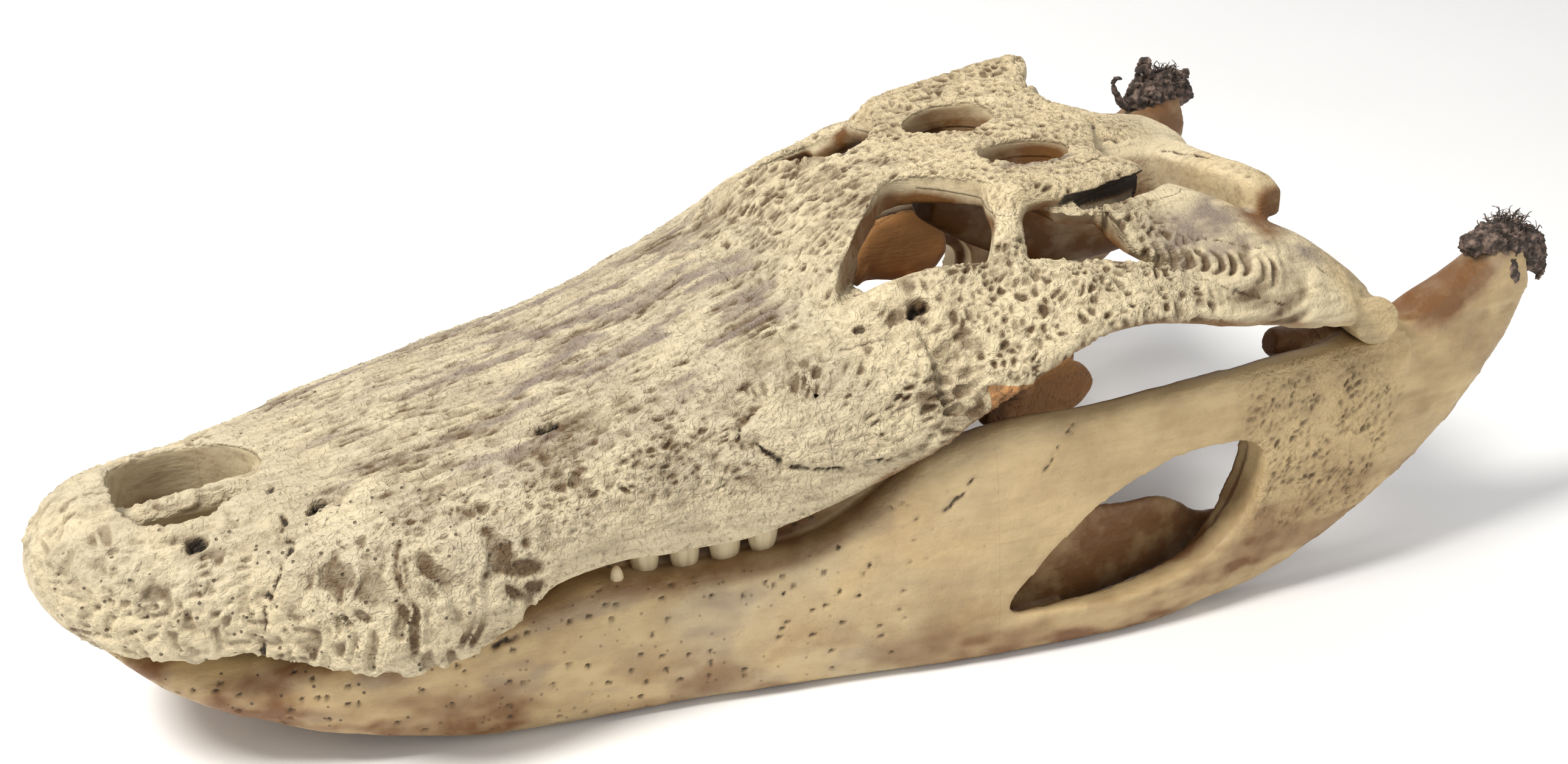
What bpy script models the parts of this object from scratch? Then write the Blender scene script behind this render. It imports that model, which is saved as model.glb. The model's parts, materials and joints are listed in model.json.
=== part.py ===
"""Alligator skull with its lower jaw, resting on the jaw, as a still life-size model.

Design sizes are in millimetres: x runs back from the tip of the snout, y is across
(left is negative) and z is up from the floor. Meshes are made in metres, with the
snout towards -X, the left side towards -Y and the origin under the middle.
The skull and the jaw are each modelled whole from lofts, fused, opened by cutters
and then parted into bones by thin cuts.
"""

import math

import bmesh
import bpy
import numpy as np

MM = 0.001
MIDDLE_X = 267.0          # design x that becomes X = 0
GAP = 0.35                # width of the thin cuts between bones
LEFT, RIGHT = -1, 1

SKULL_LENGTH = 400.0      # snout tip to the back of the skull table
TABLE_TOP = 158.0
TABLE_TILT = 0.085        # the table's back right corner stands higher than its left
MARGIN_ROUND = 6.0        # height of the rounded lower edge of the upper jaw

# Upper jaw: x, half width, height of the tooth line, height of the midline
SNOUT = [
    (0, 5, 67, 72), (2, 13, 63, 77), (5, 20, 59.5, 82), (10, 27, 55.5, 86.5), (16, 33, 52.5, 89.5), (28, 42, 50, 91.5),
    (43, 49.5, 48.5, 91.5), (57, 52.5, 48.5, 91.5), (72, 62, 45.5, 92), (88, 72, 43.5, 93),
    (103, 78.5, 42, 95), (116, 80, 42.5, 97), (132, 79, 47.5, 99.5), (150, 77.5, 58.5, 102),
    (172, 77, 61.5, 106), (196, 79, 60.5, 111), (220, 83, 61.5, 117), (244, 88, 67.5, 124),
    (264, 92, 76, 130), (284, 95, 86, 136),
]
SNOUT_POWER = 2.6
# Roof over the eyes: x, half width, height of the midline, height of the rim
ROOF = [
    (236, 57, 118, 108), (252, 57, 127, 120), (264, 55, 133, 131), (272, 51, 138, 140),
    (284, 45, 145, 149), (298, 40, 151, 154.5), (312, 40, 154, 157), (330, 46, 156, 158), (348, 50, 158, 158.5),
]
ROOF_THICK = 12.0
# Skull table by y: front edge x, back edge x
TABLE = [
    (-60, 349, 371), (-56, 337, 387), (-49, 329, 391.5), (-40, 322, 389), (-32, 318, 387),
    (-20, 314, 393), (-8, 312, 399.5), (8, 312, 400.5), (20, 314, 397), (32, 318, 397),
    (40, 322, 401), (49, 329, 407), (56, 337, 404), (60, 349, 386),
]
TABLE_THICK = 10.0
# Upper temporal openings: x, y, half length, half width
UPPER_WINDOWS = [(360, -22, 18, 12.5), (353, 20, 18.5, 13)]
# Rim of one orbit seen from above: x, distance from the midline
ORBIT = [
    (267, 53), (270, 48), (277, 42), (285, 35), (296, 25), (305, 17), (316, 20), (326, 31), (333, 45),
    (331, 56), (324, 65), (314, 63), (303, 59), (290, 55.5), (277, 55),
]
# Space inside the cheeks by x: half width below, height there, half width above, height
HOLLOW = [(254, 68, 78, 40, 108), (264, 74, 82, 46, 120), (272, 79, 88, 48, 125), (284, 82, 90, 50, 129),
          (296, 85, 94, 53, 132)]
# Cheek and lower temporal bar: x, then distance out and height of the upper rim and lower rim
CHEEK = [
    (222, 62, 96, 78, 64), (244, 58, 111, 84.5, 70), (262, 56, 124, 89, 77), (271, 56, 130, 92, 81.5),
    (283, 58, 134.5, 95, 88), (298, 61, 137.5, 98, 98), (311, 65, 138, 101, 106),
    (324, 70, 138, 103.5, 114), (338, 76, 137, 105.5, 121.5), (356, 83, 135.5, 108, 123.5),
    (374, 89.5, 133.5, 110, 120.5), (396, 98, 130, 112, 115.5), (422, 106, 123, 113, 109.5),
    (442, 108.5, 116, 113, 105),
]
CHEEK_THICK = 10.0
# Quadrate: back edge x, out, z, then front edge x, out, z, then thickness
QUADRATE = [
    (374, 22, 149, 343, 46, 149, 12), (392, 42, 148, 350, 62, 145.5, 11),
    (410, 60, 143, 361, 75, 140.5, 11), (427, 76, 135, 373, 88, 134, 12),
    (441, 86, 126, 400, 101, 126, 15), (452, 90, 115, 428, 108, 115, 17),
    (459, 92, 106, 446, 110, 106, 17),
]
CONDYLE = [(461, 84, 103, 8.5), (457, 100, 102, 8), (453, 114, 105, 9)]
# Ear opening under the edge of the skull table: x, out, z, radius
EAR = [(357, 62, 149, 2.5), (371, 59, 148.5, 5), (387, 55, 147.5, 6), (402, 48, 146.5, 5), (410, 42, 146, 3)]
# Brain case by x: half width, bottom, top
BRAIN_CASE = [
    (330, 9, 128, 153), (345, 14, 118, 155), (365, 18, 108, 155), (388, 22, 102, 154),
    (408, 27, 104, 153), (425, 29, 110, 151), (438, 22, 116, 149),
]
# Plate at the back of the skull by y: top x, z and bottom x, z, thickness
BACK_PLATE = [
    (-78, 430, 147.5, 430, 137, 10), (-71, 429, 150.5, 430, 134, 12), (-58, 428, 150.5, 429, 130, 13),
    (-40, 425, 149.5, 427, 124, 15), (-20, 423, 149, 425, 118, 18), (0, 420, 149, 424, 116, 20),
    (18, 413, 149.5, 422, 118, 18), (34, 406, 148.5, 422, 123, 15), (54, 408, 144, 424, 129, 13),
    (70, 418, 144, 427, 132, 12), (77, 425, 144, 429, 136, 10),
]
# Palate behind the snout by x: half width, height, half thickness
PALATE = [
    (240, 22, 84, 7), (270, 17, 82, 6), (300, 18, 79, 5.5), (325, 34, 77, 5), (345, 50, 77, 5),
    (360, 54, 77, 5), (372, 44, 79, 5), (384, 24, 84, 7), (394, 16, 92, 8),
]
# Wings of the pterygoids, which aren't a matched pair: x, out, top, bottom
WINGS = {
    LEFT: [(322, 60, 84, 70), (338, 59, 87, 66), (354, 57, 88, 64), (366, 55, 84, 65), (372, 53, 78, 70)],
    RIGHT: [(330, 58, 92, 80), (341, 60, 102, 79), (356, 60, 106, 76), (368, 59, 103, 77), (375, 57, 94, 86)],
}
# Each half of the jaw: x, then out and height of the upper edge and lower edge, thickness
JAW = [
    (62, 36, 42, 36, 19, 20), (80, 46, 41, 45, 13.5, 21), (104, 53, 40, 51, 8, 23),
    (128, 56.5, 42, 56, 2.6, 23), (148, 59.5, 48.5, 60, 0.8, 22), (172, 61, 51.5, 64, 0.1, 22),
    (196, 64, 49, 68.5, 0, 22), (222, 69, 50, 74.5, 0, 22), (246, 75, 54, 80.5, 0, 21),
    (264, 79.5, 65, 85.5, 0, 20), (284, 84.5, 81, 91, 0, 19.5), (312, 90, 88.5, 97.5, 0, 19),
    (342, 94.5, 88.5, 102.5, 0, 19), (372, 98, 90.5, 105, 0.3, 19), (398, 100, 92, 105.5, 5, 19),
]
# Back of the jaw: upper edge x, out, z, lower edge x, out, z, thickness
JAW_BACK = [
    (392, 99.5, 91.5, 386, 105, 1.5, 18), (420, 101, 93, 418, 106.5, 7, 20), (446, 101, 93.5, 449, 106, 21, 25),
    (472, 101.5, 101, 479, 104.5, 37, 26), (494, 103, 110, 502, 104, 55, 23), (511, 104, 119, 520, 104, 78, 20),
    (522, 105, 123.5, 530, 105, 99, 16),
]
# Inner front lip of the joint socket: x, out, z, radius
SOCKET_LIP = [(430, 84, 90, 5), (440, 86, 87, 8), (452, 88, 84, 10), (466, 90, 82, 11)]
# Front of the jaw where both halves meet: x, half width, bottom, top
CHIN = [(13, 6, 47, 53), (17, 20, 44.5, 53), (24, 31, 39, 51.5), (37, 40.5, 27, 49), (52, 46.5, 16.5, 46.5),
        (68, 53, 12, 44), (86, 60, 10, 41.5)]
# Window in the side of the jaw: x, z
JAW_WINDOW = [
    (308, 21), (320, 37), (341, 55), (364, 65.5), (386, 69), (405, 66), (409, 56), (403, 38),
    (385, 23), (356, 17), (328, 17.5),
]
# Inner wall behind that window: x, top, bottom
INNER_WALL = [
    (296, 50, 6), (326, 48, 5), (346, 44, 5), (366, 40, 6), (382, 38.5, 8), (392, 34, 9), (402, 27, 10),
    (416, 25.5, 12), (430, 33, 16),
]
INNER_WALL_OUT = 86.0
# Space at each end of the back plate, above the quadrate, seen from behind: out, height
PLATE_END = [(36, 146.5), (46, 146.5), (60, 143.5), (70, 139), (78, 134), (90, 130), (90, 153), (36, 153)]
TISSUE_FLOOR = 116.0      # dried tissue sits above this height on the jaw's back tips
# Teeth that show between the jaws: x, radius, length below the tooth line
UPPER_TEETH = [(160, 3.2, 5), (185, 5.2, 8.5), (198.5, 5.2, 9.5), (212, 5.2, 10), (226, 5.0, 9), (239, 3, 8), (252, 2.6, 6)]
LOWER_TEETH = [(174, 2.4, 4.5), (270, 2.8, 5), (282, 2.8, 5)]

BONE = ((0.60, 0.52, 0.39), 0.62)
JAW_BONE = ((0.62, 0.51, 0.33), 0.55)
STAINED = ((0.22, 0.13, 0.06), 0.6)
TISSUE = ((0.07, 0.05, 0.04), 0.9)


def along(rows, at):
    """Smooth values at each station through rows of (station, value, value, ...)."""
    rows = np.asarray(rows, float)
    station, value = rows[:, 0], rows[:, 1:]
    slope = np.gradient(value, station, axis=0)
    at = np.clip(np.asarray(at, float), station[0], station[-1])
    i = np.clip(np.searchsorted(station, at, side="right") - 1, 0, len(station) - 2)
    step = (station[i + 1] - station[i])[:, None]
    u = ((at - station[i])[:, None]) / step
    start = (2 * u**3 - 3 * u**2 + 1) * value[i] + (u**3 - 2 * u**2 + u) * step * slope[i]
    end = (3 * u**2 - 2 * u**3) * value[i + 1] + (u**3 - u**2) * step * slope[i + 1]
    return start + end


def resample(rows, count):
    """Rows re-read at even spacing, with the row number as the station."""
    rows = np.asarray(rows, float)
    numbered = np.column_stack([np.arange(len(rows)), rows])
    return along(numbered, np.linspace(0, len(rows) - 1, count))


def super_round(angle, power):
    """Cosine and sine of a superellipse: power 2 is round, more is squarer."""
    c, s = np.cos(angle), np.sin(angle)
    return np.sign(c) * np.abs(c) ** (2 / power), np.sign(s) * np.abs(s) ** (2 / power)


def make_object(name, bm):
    bmesh.ops.recalc_face_normals(bm, faces=bm.faces)
    mesh = bpy.data.meshes.new(name)
    bm.to_mesh(mesh)
    bm.free()
    obj = bpy.data.objects.new(name, mesh)
    bpy.context.scene.collection.objects.link(obj)
    return obj


def place(points):
    """Design millimetres to metres in the model's frame."""
    moved = np.asarray(points, float).copy()
    moved[..., 0] -= MIDDLE_X
    return moved * MM


def loft(name, rings):
    """Closed body through rings of points, with a fan of triangles on each end."""
    rings = place(rings)
    count, sides = rings.shape[:2]
    bm = bmesh.new()
    verts = [[bm.verts.new(p) for p in ring] for ring in rings]
    for a, b in zip(verts, verts[1:]):
        for k in range(sides):
            n = (k + 1) % sides
            bm.faces.new((a[k], a[n], b[n], b[k]))
    for ring, points in ((verts[0], rings[0]), (verts[-1], rings[-1])):
        middle = bm.verts.new(points.mean(axis=0))
        for k in range(sides):
            bm.faces.new((ring[k], ring[(k + 1) % sides], middle))
    return make_object(name, bm)


def tube(name, rows, sides=12, count=8):
    """Round body along rows of (x, y, z, radius)."""
    rows = resample(rows, count)
    path, radius = rows[:, :3], rows[:, 3]
    tangent = np.gradient(path, axis=0)
    tangent /= np.linalg.norm(tangent, axis=1)[:, None]
    side = np.cross(tangent, (0.0, 0.02, 1.0))
    side /= np.linalg.norm(side, axis=1)[:, None]
    up = np.cross(side, tangent)
    angle = np.linspace(0, 2 * math.pi, sides, endpoint=False)
    ring = np.cos(angle)[None, :, None] * side[:, None] + np.sin(angle)[None, :, None] * up[:, None]
    return loft(name, path[:, None] + ring * radius[:, None, None])


def blade(name, rows, sides=14, count=12, power=2.6):
    """Flat body between two edges, from rows of (ax, ay, az, bx, by, bz, thickness)."""
    rows = resample(rows, count)
    edge_a, edge_b, thick = rows[:, :3], rows[:, 3:6], rows[:, 6]
    middle = (edge_a + edge_b) / 2
    reach = (edge_b - edge_a) / 2
    tangent = np.gradient(middle, axis=0)
    normal = np.cross(reach, tangent)
    normal /= np.linalg.norm(normal, axis=1)[:, None]
    c, s = super_round(np.linspace(0, 2 * math.pi, sides, endpoint=False), power)
    ring = c[None, :, None] * reach[:, None] + s[None, :, None] * normal[:, None] * thick[:, None, None] / 2
    return loft(name, middle[:, None] + ring)


def flat_loft(name, rows, sides=20, count=12, power=3.0):
    """Body across the midline, from rows of (x, half width, bottom, top)."""
    rows = resample(rows, count)
    c, s = super_round(np.linspace(0, 2 * math.pi, sides, endpoint=False), power)
    x, width, low, high = rows.T
    rings = np.stack([
        np.repeat(x[:, None], sides, axis=1),
        width[:, None] * c,
        (low + high)[:, None] / 2 + (high - low)[:, None] / 2 * s,
    ], axis=-1)
    return loft(name, rings)


def prism(name, outline, axis, low, high):
    """Straight cutter with a closed smooth outline, along one axis."""
    points = np.asarray(outline, float)
    closed = np.vstack([points[-2:], points, points[:3]])
    numbered = np.column_stack([np.arange(len(closed)), closed])
    smooth = along(numbered, np.linspace(2, len(points) + 2, 2 * len(points), endpoint=False))
    rings = []
    for end in (low, high):
        rings.append(np.insert(smooth, axis, end, axis=1))
    return loft(name, np.array(rings))


def box(name, low, high):
    bm = bmesh.new()
    bmesh.ops.create_cube(bm, size=1.0)
    low, high = place(low), place(high)
    for v in bm.verts:
        v.co = [(a + b) / 2 + c * (b - a) for a, b, c in zip(low, high, v.co)]
    return make_object(name, bm)


def ellipse(x, y, half_x, half_y, count=13):
    turn = np.linspace(0, 2 * math.pi, count, endpoint=False)
    return np.column_stack([x + half_x * np.cos(turn), y + half_y * np.sin(turn)])


def mirror_rows(rows, out_columns, side):
    """Rows with the distances out from the midline put on one side."""
    rows = np.asarray(rows, float).copy()
    rows[:, out_columns] *= side
    return rows


def remove(obj):
    mesh = obj.data
    bpy.data.objects.remove(obj)
    bpy.data.meshes.remove(mesh)


def apply_modifiers(obj):
    graph = bpy.context.evaluated_depsgraph_get()
    mesh = bpy.data.meshes.new_from_object(obj.evaluated_get(graph))
    old = obj.data
    obj.modifiers.clear()
    obj.data = mesh
    bpy.data.meshes.remove(old)


def boolean(obj, others, operation):
    """Joins or cuts by the given objects, then deletes them."""
    group = bpy.data.collections.new("pieces")
    for other in others:
        group.objects.link(other)
    modifier = obj.modifiers.new("fuse", "BOOLEAN")
    modifier.operation = operation
    modifier.solver = "MANIFOLD"
    modifier.operand_type = "COLLECTION"
    modifier.collection = group
    bpy.context.view_layer.update()
    apply_modifiers(obj)
    for other in list(group.objects):
        remove(other)
    bpy.data.collections.remove(group)
    return obj


def union(name, pieces):
    base = pieces[0]
    base.name = name
    return boolean(base, pieces[1:], "UNION") if len(pieces) > 1 else base


def copy_of(obj, name):
    twin = bpy.data.objects.new(name, obj.data.copy())
    bpy.context.scene.collection.objects.link(twin)
    return twin


def welded(mesh):
    """The mesh with needless short edges closed up, by the first distance that keeps it sound."""
    for distance in (0.00001, 0.00002, 0.000005, 0.00005, 0.000001, 0.0):
        bm = bmesh.new()
        bm.from_mesh(mesh)
        if distance:
            bmesh.ops.remove_doubles(bm, verts=bm.verts, dist=distance)
            bmesh.ops.dissolve_degenerate(bm, edges=bm.edges, dist=distance)
        bmesh.ops.triangulate(bm, faces=bm.faces)
        sound = all(e.is_manifold for e in bm.edges) and all(v.is_manifold for v in bm.verts)
        if sound or not distance:
            return bm
        bm.free()


def keep_largest(obj):
    """Drops loose scraps and sealed hollows, so that one closed surface is left."""
    bm = welded(obj.data)
    unseen = set(bm.verts)
    shells = []
    while unseen:
        stack = [unseen.pop()]
        shell = list(stack)
        while stack:
            for edge in stack.pop().link_edges:
                for vert in edge.verts:
                    if vert in unseen:
                        unseen.remove(vert)
                        stack.append(vert)
                        shell.append(vert)
        shells.append(shell)
    shells.sort(key=len)
    for shell in shells[:-1]:
        bmesh.ops.delete(bm, geom=shell, context="VERTS")
    bm.to_mesh(obj.data)
    bm.free()


def grown(outline, distance):
    """The outline with every side moved outwards; it runs anticlockwise."""
    points = np.asarray(outline, float)
    side = np.roll(points, -1, axis=0) - points
    normal = np.column_stack([side[:, 1], -side[:, 0]]) / np.linalg.norm(side, axis=1)[:, None]
    before = np.roll(normal, 1, axis=0)
    share = (1 + (before * normal).sum(axis=1))[:, None]
    return points + distance * (before + normal) / share


def straight_prism(name, outline, axis, low, high):
    """Prism with straight sides along one axis, from an anticlockwise outline."""
    rings = [np.insert(np.asarray(outline, float), axis, end, axis=1) for end in (low, high)]
    return loft(name, np.array(rings))


def take(whole, name, outline, axis, low, high):
    """Cuts one bone out of the whole by a prism, leaving a thin gap round it."""
    bone = copy_of(whole, name)
    boolean(bone, [straight_prism("cutter", outline, axis, low, high)], "INTERSECT")
    wider = straight_prism("cutter", grown(outline, GAP), axis, low - GAP, high + GAP)
    boolean(whole, [wider], "DIFFERENCE")
    keep_largest(bone)
    return bone


def take_box(whole, name, x, y, z):
    """Cuts out the bone inside ranges of x, y and z."""
    outline = [(x[0], y[0]), (x[1], y[0]), (x[1], y[1]), (x[0], y[1])]
    return take(whole, name, outline, 2, z[0], z[1])


def material(name, finish):
    colour, rough = finish
    mat = bpy.data.materials.get(name)
    if mat is None:
        mat = bpy.data.materials.new(name)
        mat.use_nodes = True
        shader = mat.node_tree.nodes["Principled BSDF"]
        shader.inputs["Base Color"].default_value = (*colour, 1)
        shader.inputs["Roughness"].default_value = rough
        shader.inputs["Metallic"].default_value = 0.0
    return mat


def snout(grow=0.0):
    """Upper jaw: a domed top, steep sides and a rounded lower edge."""
    stations = np.concatenate([
        np.linspace(0, 1, 8) ** 1.6 * 57, np.linspace(57, 284, 21)[1:],
    ])
    width, line, top = along(SNOUT, stations).T
    width, line, top = width + grow, line - grow, top + grow
    upper = np.linspace(0, math.pi, 19)
    c, s = super_round(upper, SNOUT_POWER)
    lower = np.linspace(math.pi, 2 * math.pi, 11)[1:-1]
    c_low, s_low = super_round(lower, 3.5)
    y = np.concatenate([c, c_low])[None] * width[:, None]
    edge = np.minimum(MARGIN_ROUND, 0.45 * (top - line))
    base = line + edge
    z_up = base[:, None] + (top - base)[:, None] * s
    z_low = base[:, None] + edge[:, None] * s_low
    x = np.repeat(stations[:, None], y.shape[1], axis=1)
    return loft("snout", np.stack([x, y, np.concatenate([z_up, z_low], axis=1)], axis=-1))


def roof():
    """Bone between and in front of the orbits, a little hollow along the middle."""
    rows = resample(ROOF, 12)
    c, s = super_round(np.linspace(0, 2 * math.pi, 22, endpoint=False), 6)
    x, width, middle, rim = rows.T
    y = width[:, None] * c
    lift = middle[:, None] + (rim - middle)[:, None] * c**2
    z = lift - ROOF_THICK / 2 + ROOF_THICK / 2 * s
    return loft("roof", np.stack([np.repeat(x[:, None], len(c), axis=1), y, z], axis=-1))


def table_height(x, y):
    """Top of the skull table: it rises backwards, dips along the middle and is askew."""
    back = np.clip((x - 331) / 60, 0, 1.3)
    return TABLE_TOP - 2.0 + 3.0 * back + TABLE_TILT * y * back + 2.0 * (y / 55) ** 2


def skull_table():
    """Flat plate with a notched back edge and a prong at each back corner."""
    across = np.linspace(-60, 60, 21)
    front, back = along(TABLE, across).T
    c, s = super_round(np.linspace(0, 2 * math.pi, 16, endpoint=False), 5)
    x = (front + back)[:, None] / 2 + (back - front)[:, None] / 2 * c
    y = np.repeat(across[:, None], len(c), axis=1)
    edge = np.clip((60.5 - np.abs(across)) / 5, 0.35, 1)[:, None]
    z = table_height(x, y) - TABLE_THICK / 2 + TABLE_THICK / 2 * s * edge
    return loft("table", np.stack([x, y, z], axis=-1))


def brain_case():
    body = flat_loft("brain", BRAIN_CASE, sides=16, count=9)
    ball = tube("condyle", [(430, 0, 122, 8), (440, 0, 120, 9), (446, 0, 119, 5)], 12, 5)
    rows = [(ax, y, az, bx, y, bz, thick) for y, ax, az, bx, bz, thick in BACK_PLATE]
    plate = blade("plate", rows, sides=14, count=15, power=5)
    stalk = tube("stalk", [(384, 0, 84, 11), (386, 0, 98, 12), (388, 0, 112, 15)], 12, 5)
    return [body, ball, plate, stalk]


def cheek(side):
    rows = [(x, side * a, za, x, side * b, zb, CHEEK_THICK) for x, a, za, b, zb in CHEEK]
    return blade("cheek", rows, sides=14, count=20)


def quadrate(side):
    rows = mirror_rows(QUADRATE, [1, 4], side)
    body = blade("quadrate", rows, sides=14, count=12)
    ball = tube("roller", mirror_rows(CONDYLE, [1], side), 12, 7)
    return [body, ball]


def eye_bar(side):
    """Post behind the orbit, from the table's front corner down to the cheek."""
    rows = [(338, side * 44, 150, 8), (334, side * 51, 148, 7), (331, side * 57, 144, 5.4),
            (327, side * 64, 139, 6), (324, side * 69, 134, 8)]
    return tube("bar", rows, 12, 9)


def palate(side_count=16):
    rows = [(x, w, z - t, z + t) for x, w, z, t in PALATE]
    pieces = [flat_loft("palate", rows, sides=side_count, count=12)]
    for side in (LEFT, RIGHT):
        wing = [(x, side * y, top, x, side * (y - 2), low, 8) for x, y, top, low in WINGS[side]]
        pieces.append(blade("wing", wing, sides=10, count=7))
        strut = [(298, side * 88, 112, 8), (312, side * 77, 101, 7), (326, side * 66, 90, 6.5),
                 (338, side * 58, 82, 6)]
        pieces.append(tube("strut", strut, 10, 7))
    return pieces


def peg(name, x, y, top, bottom, radius):
    """Blunt tooth with a root sunk in the bone."""
    length = top - bottom
    rows = [(x, y, top, radius), (x, y, top - 0.5 * length, radius),
            (x, y, top - 0.85 * length, radius * 0.8), (x, y, bottom, radius * 0.45)]
    return tube(name, rows, 7, 4)


def upper_teeth(side):
    pegs = []
    for x, radius, length in UPPER_TEETH:
        width, line, _ = along(SNOUT, [x])[0]
        pegs.append(peg("tooth", x, side * (width - 9), line + 12, line - length, radius))
    return pegs


def hollow_under_roof():
    """Cutter for the space below the roof and inside the cheeks."""
    rings = []
    for x, low_out, low_z, top_out, top_z in HOLLOW:
        half = [(low_out, 40), (low_out, low_z), (top_out, top_z)]
        ring = half + [(-y, z) for y, z in reversed(half)]
        rings.append([(x, y, z) for y, z in ring])
    return loft("hollow", rings)


def cut_skull_openings(skull):
    """Orbits, upper temporal openings, ear openings and the hollow under the roof."""
    cutters = [hollow_under_roof()]
    for side in (LEFT, RIGHT):
        outline = mirror_rows(ORBIT, [1], side)
        cutters.append(prism("orbit", outline, 2, 128, 190))
    for x, y, half_x, half_y in UPPER_WINDOWS:
        cutters.append(prism("window", ellipse(x, y, half_x, half_y, 10), 2, 136, 190))
    for side in (LEFT, RIGHT):
        cutters.append(tube("ear", mirror_rows(EAR, [1], side), 10, 7))
    for cutter in cutters:
        boolean(skull, [cutter], "DIFFERENCE")


def nostril():
    """Heart-shaped pit in the nose, open down to the palate."""
    outline = [(30, 0), (31, 14), (38, 23), (50, 26), (62, 22), (74, 11), (78, 0),
               (74, -11), (62, -22), (50, -26), (38, -23), (31, -14)]
    return prism("nostril", outline, 2, 56, 130)


def build_skull():
    pieces = [snout(), roof(), skull_table()] + brain_case()
    for side in (LEFT, RIGHT):
        pieces.append(cheek(side))
        pieces += quadrate(side)
    skull = union("skull", pieces)
    cut_skull_openings(skull)
    boolean(skull, [nostril()], "DIFFERENCE")
    septum = tube("septum", [(24, 0, 76, 7), (40, 0, 79, 5.2), (60, 0, 80, 5), (84, 0, 80, 7)], 10, 7)
    extra = [septum] + palate()
    for side in (LEFT, RIGHT):
        extra.append(eye_bar(side))
        extra += upper_teeth(side)
    return boolean(skull, extra, "UNION")


def jaw_half(side):
    rows = [(x, side * a, za, x, side * b, zb, thick) for x, a, za, b, zb, thick in JAW]
    front = blade("ramus", rows, sides=14, count=20, power=3.4)
    rows = mirror_rows(JAW_BACK, [1, 4], side)
    back = blade("back", rows, sides=14, count=11, power=2.8)
    socket = tube("socket", [(470, side * 84, 88, 11), (466, side * 98, 88, 13), (460, side * 112, 90, 11)], 12, 6)
    lip = tube("lip", mirror_rows(SOCKET_LIP, [1], side), 10, 5)
    pegs = []
    for x, radius, length in LOWER_TEETH:
        out, top = along(JAW, [x])[0][:2]
        pegs.append(peg("tooth", x, side * (out + 3), top - 10, top + length, radius))
    return [front, back, socket, lip] + pegs


def jaw_cutters(side):
    window = prism("window", JAW_WINDOW, 1, *sorted((side * 80, side * 130)))
    middle = np.mean(JAW_WINDOW, axis=0)
    wide = ((np.asarray(JAW_WINDOW) - middle) * (1.08, 1.3) + middle)[::2]
    hollow = prism("hollow", wide, 1, *sorted((side * 70, side * 101)))
    roller = tube("roller", mirror_rows([(463, 78, 103.5, 9.4), (457, 100, 102, 9.2), (452.5, 118, 105, 10)], [1], side), 16, 7)
    return [window, hollow, roller]


def inner_wall(side):
    rows = [(x, side * INNER_WALL_OUT, top, x, side * (INNER_WALL_OUT + 3), low, 5) for x, top, low in INNER_WALL]
    return blade("inner", rows, sides=8, count=12)


def build_jaw():
    pieces = [flat_loft("chin", CHIN, sides=20, count=9, power=2.4)]
    for side in (LEFT, RIGHT):
        pieces += jaw_half(side)
    jaw = union("jaw", pieces)
    boolean(jaw, jaw_cutters(LEFT) + jaw_cutters(RIGHT), "DIFFERENCE")
    boolean(jaw, [snout(GAP)], "DIFFERENCE")
    return boolean(jaw, [inner_wall(LEFT), inner_wall(RIGHT)], "UNION")


def part_skull(skull):
    """Bones of the skull, from the front backwards."""
    every = (-400, 400)
    bones = [
        (take_box(skull, "premaxillae", (-5, 61), every, (0, 400)), BONE),
        (take_box(skull, "maxillae", (-5, 246), every, (0, 400)), BONE),
    ]
    for side, word in ((LEFT, "left"), (RIGHT, "right")):
        def half(outline):
            points = [(side * y, z) for y, z in outline]
            return points if side == RIGHT else points[::-1]
        cheek_outline = [(59, 108), (200, 108), (200, 147.5), (59, 147.5)]
        edge_outline = [(76, 40), (200, 40), (200, 108), (76, 108)]
        quadrate_outline = [(36, 80), (200, 80), (200, 147.5), (36, 147.5)]
        wing_outline = [(24, 40), (120, 40), (120, 108), (24, 108)]
        bones += [
            (take(skull, "jugal_" + word, half(cheek_outline), 0, -5, 366), BONE),
            (take(skull, "maxilla_end_" + word, half(edge_outline), 0, -5, 300), BONE),
            (take(skull, "paroccipital_" + word, half(PLATE_END), 0, 402, 440), BONE),
            (take(skull, "pterygoid_wing_" + word, half(wing_outline), 0, 280, 390), STAINED),
            (take(skull, "quadrate_" + word, half(quadrate_outline), 0, 340, 600), BONE),
        ]
    bones += [
        (take_box(skull, "frontal", (-5, 316), every, (110, 400)), BONE),
        (take_box(skull, "skull_table", (-5, 410), every, (149.5, 400)), BONE),
        (take_box(skull, "palate", (-5, 600), every, (40, 98)), STAINED),
    ]
    keep_largest(skull)
    skull.name = "brain_case"
    bones.append((skull, BONE))
    return bones


def part_jaw(jaw):
    """Bones of each half of the jaw, from the front backwards."""
    bones = []
    for side, word in ((LEFT, "left"), (RIGHT, "right")):
        y = (-400, -GAP / 2) if side == LEFT else (GAP / 2, 400)
        bones += [
            (take_box(jaw, "dentary_" + word, (-5, 304), y, (-5, 400)), JAW_BONE),
            (take_box(jaw, "surangular_" + word, (200, 446), y, (48, 400)), JAW_BONE),
            (take_box(jaw, "angular_" + word, (200, 446), y, (-5, 60)), JAW_BONE),
            (take_box(jaw, "articular_" + word, (200, 600), y, (-5, TISSUE_FLOOR - GAP)), JAW_BONE),
        ]
    remove(jaw)
    return bones


def tissue(side, word):
    """Dried tissue sitting on the tip of the jaw."""
    rows = [(512, side * 104, 118, 5), (519, side * 104, 121, 9), (525, side * 105, 124, 9),
            (530, side * 105, 121, 6), (532, side * 105, 118, 4)]
    cap = tube("tissue_" + word, rows, 12, 7)
    boolean(cap, [box("cutter", (480, -300, 60), (560, 300, TISSUE_FLOOR))], "DIFFERENCE")
    keep_largest(cap)
    return cap, TISSUE


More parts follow.
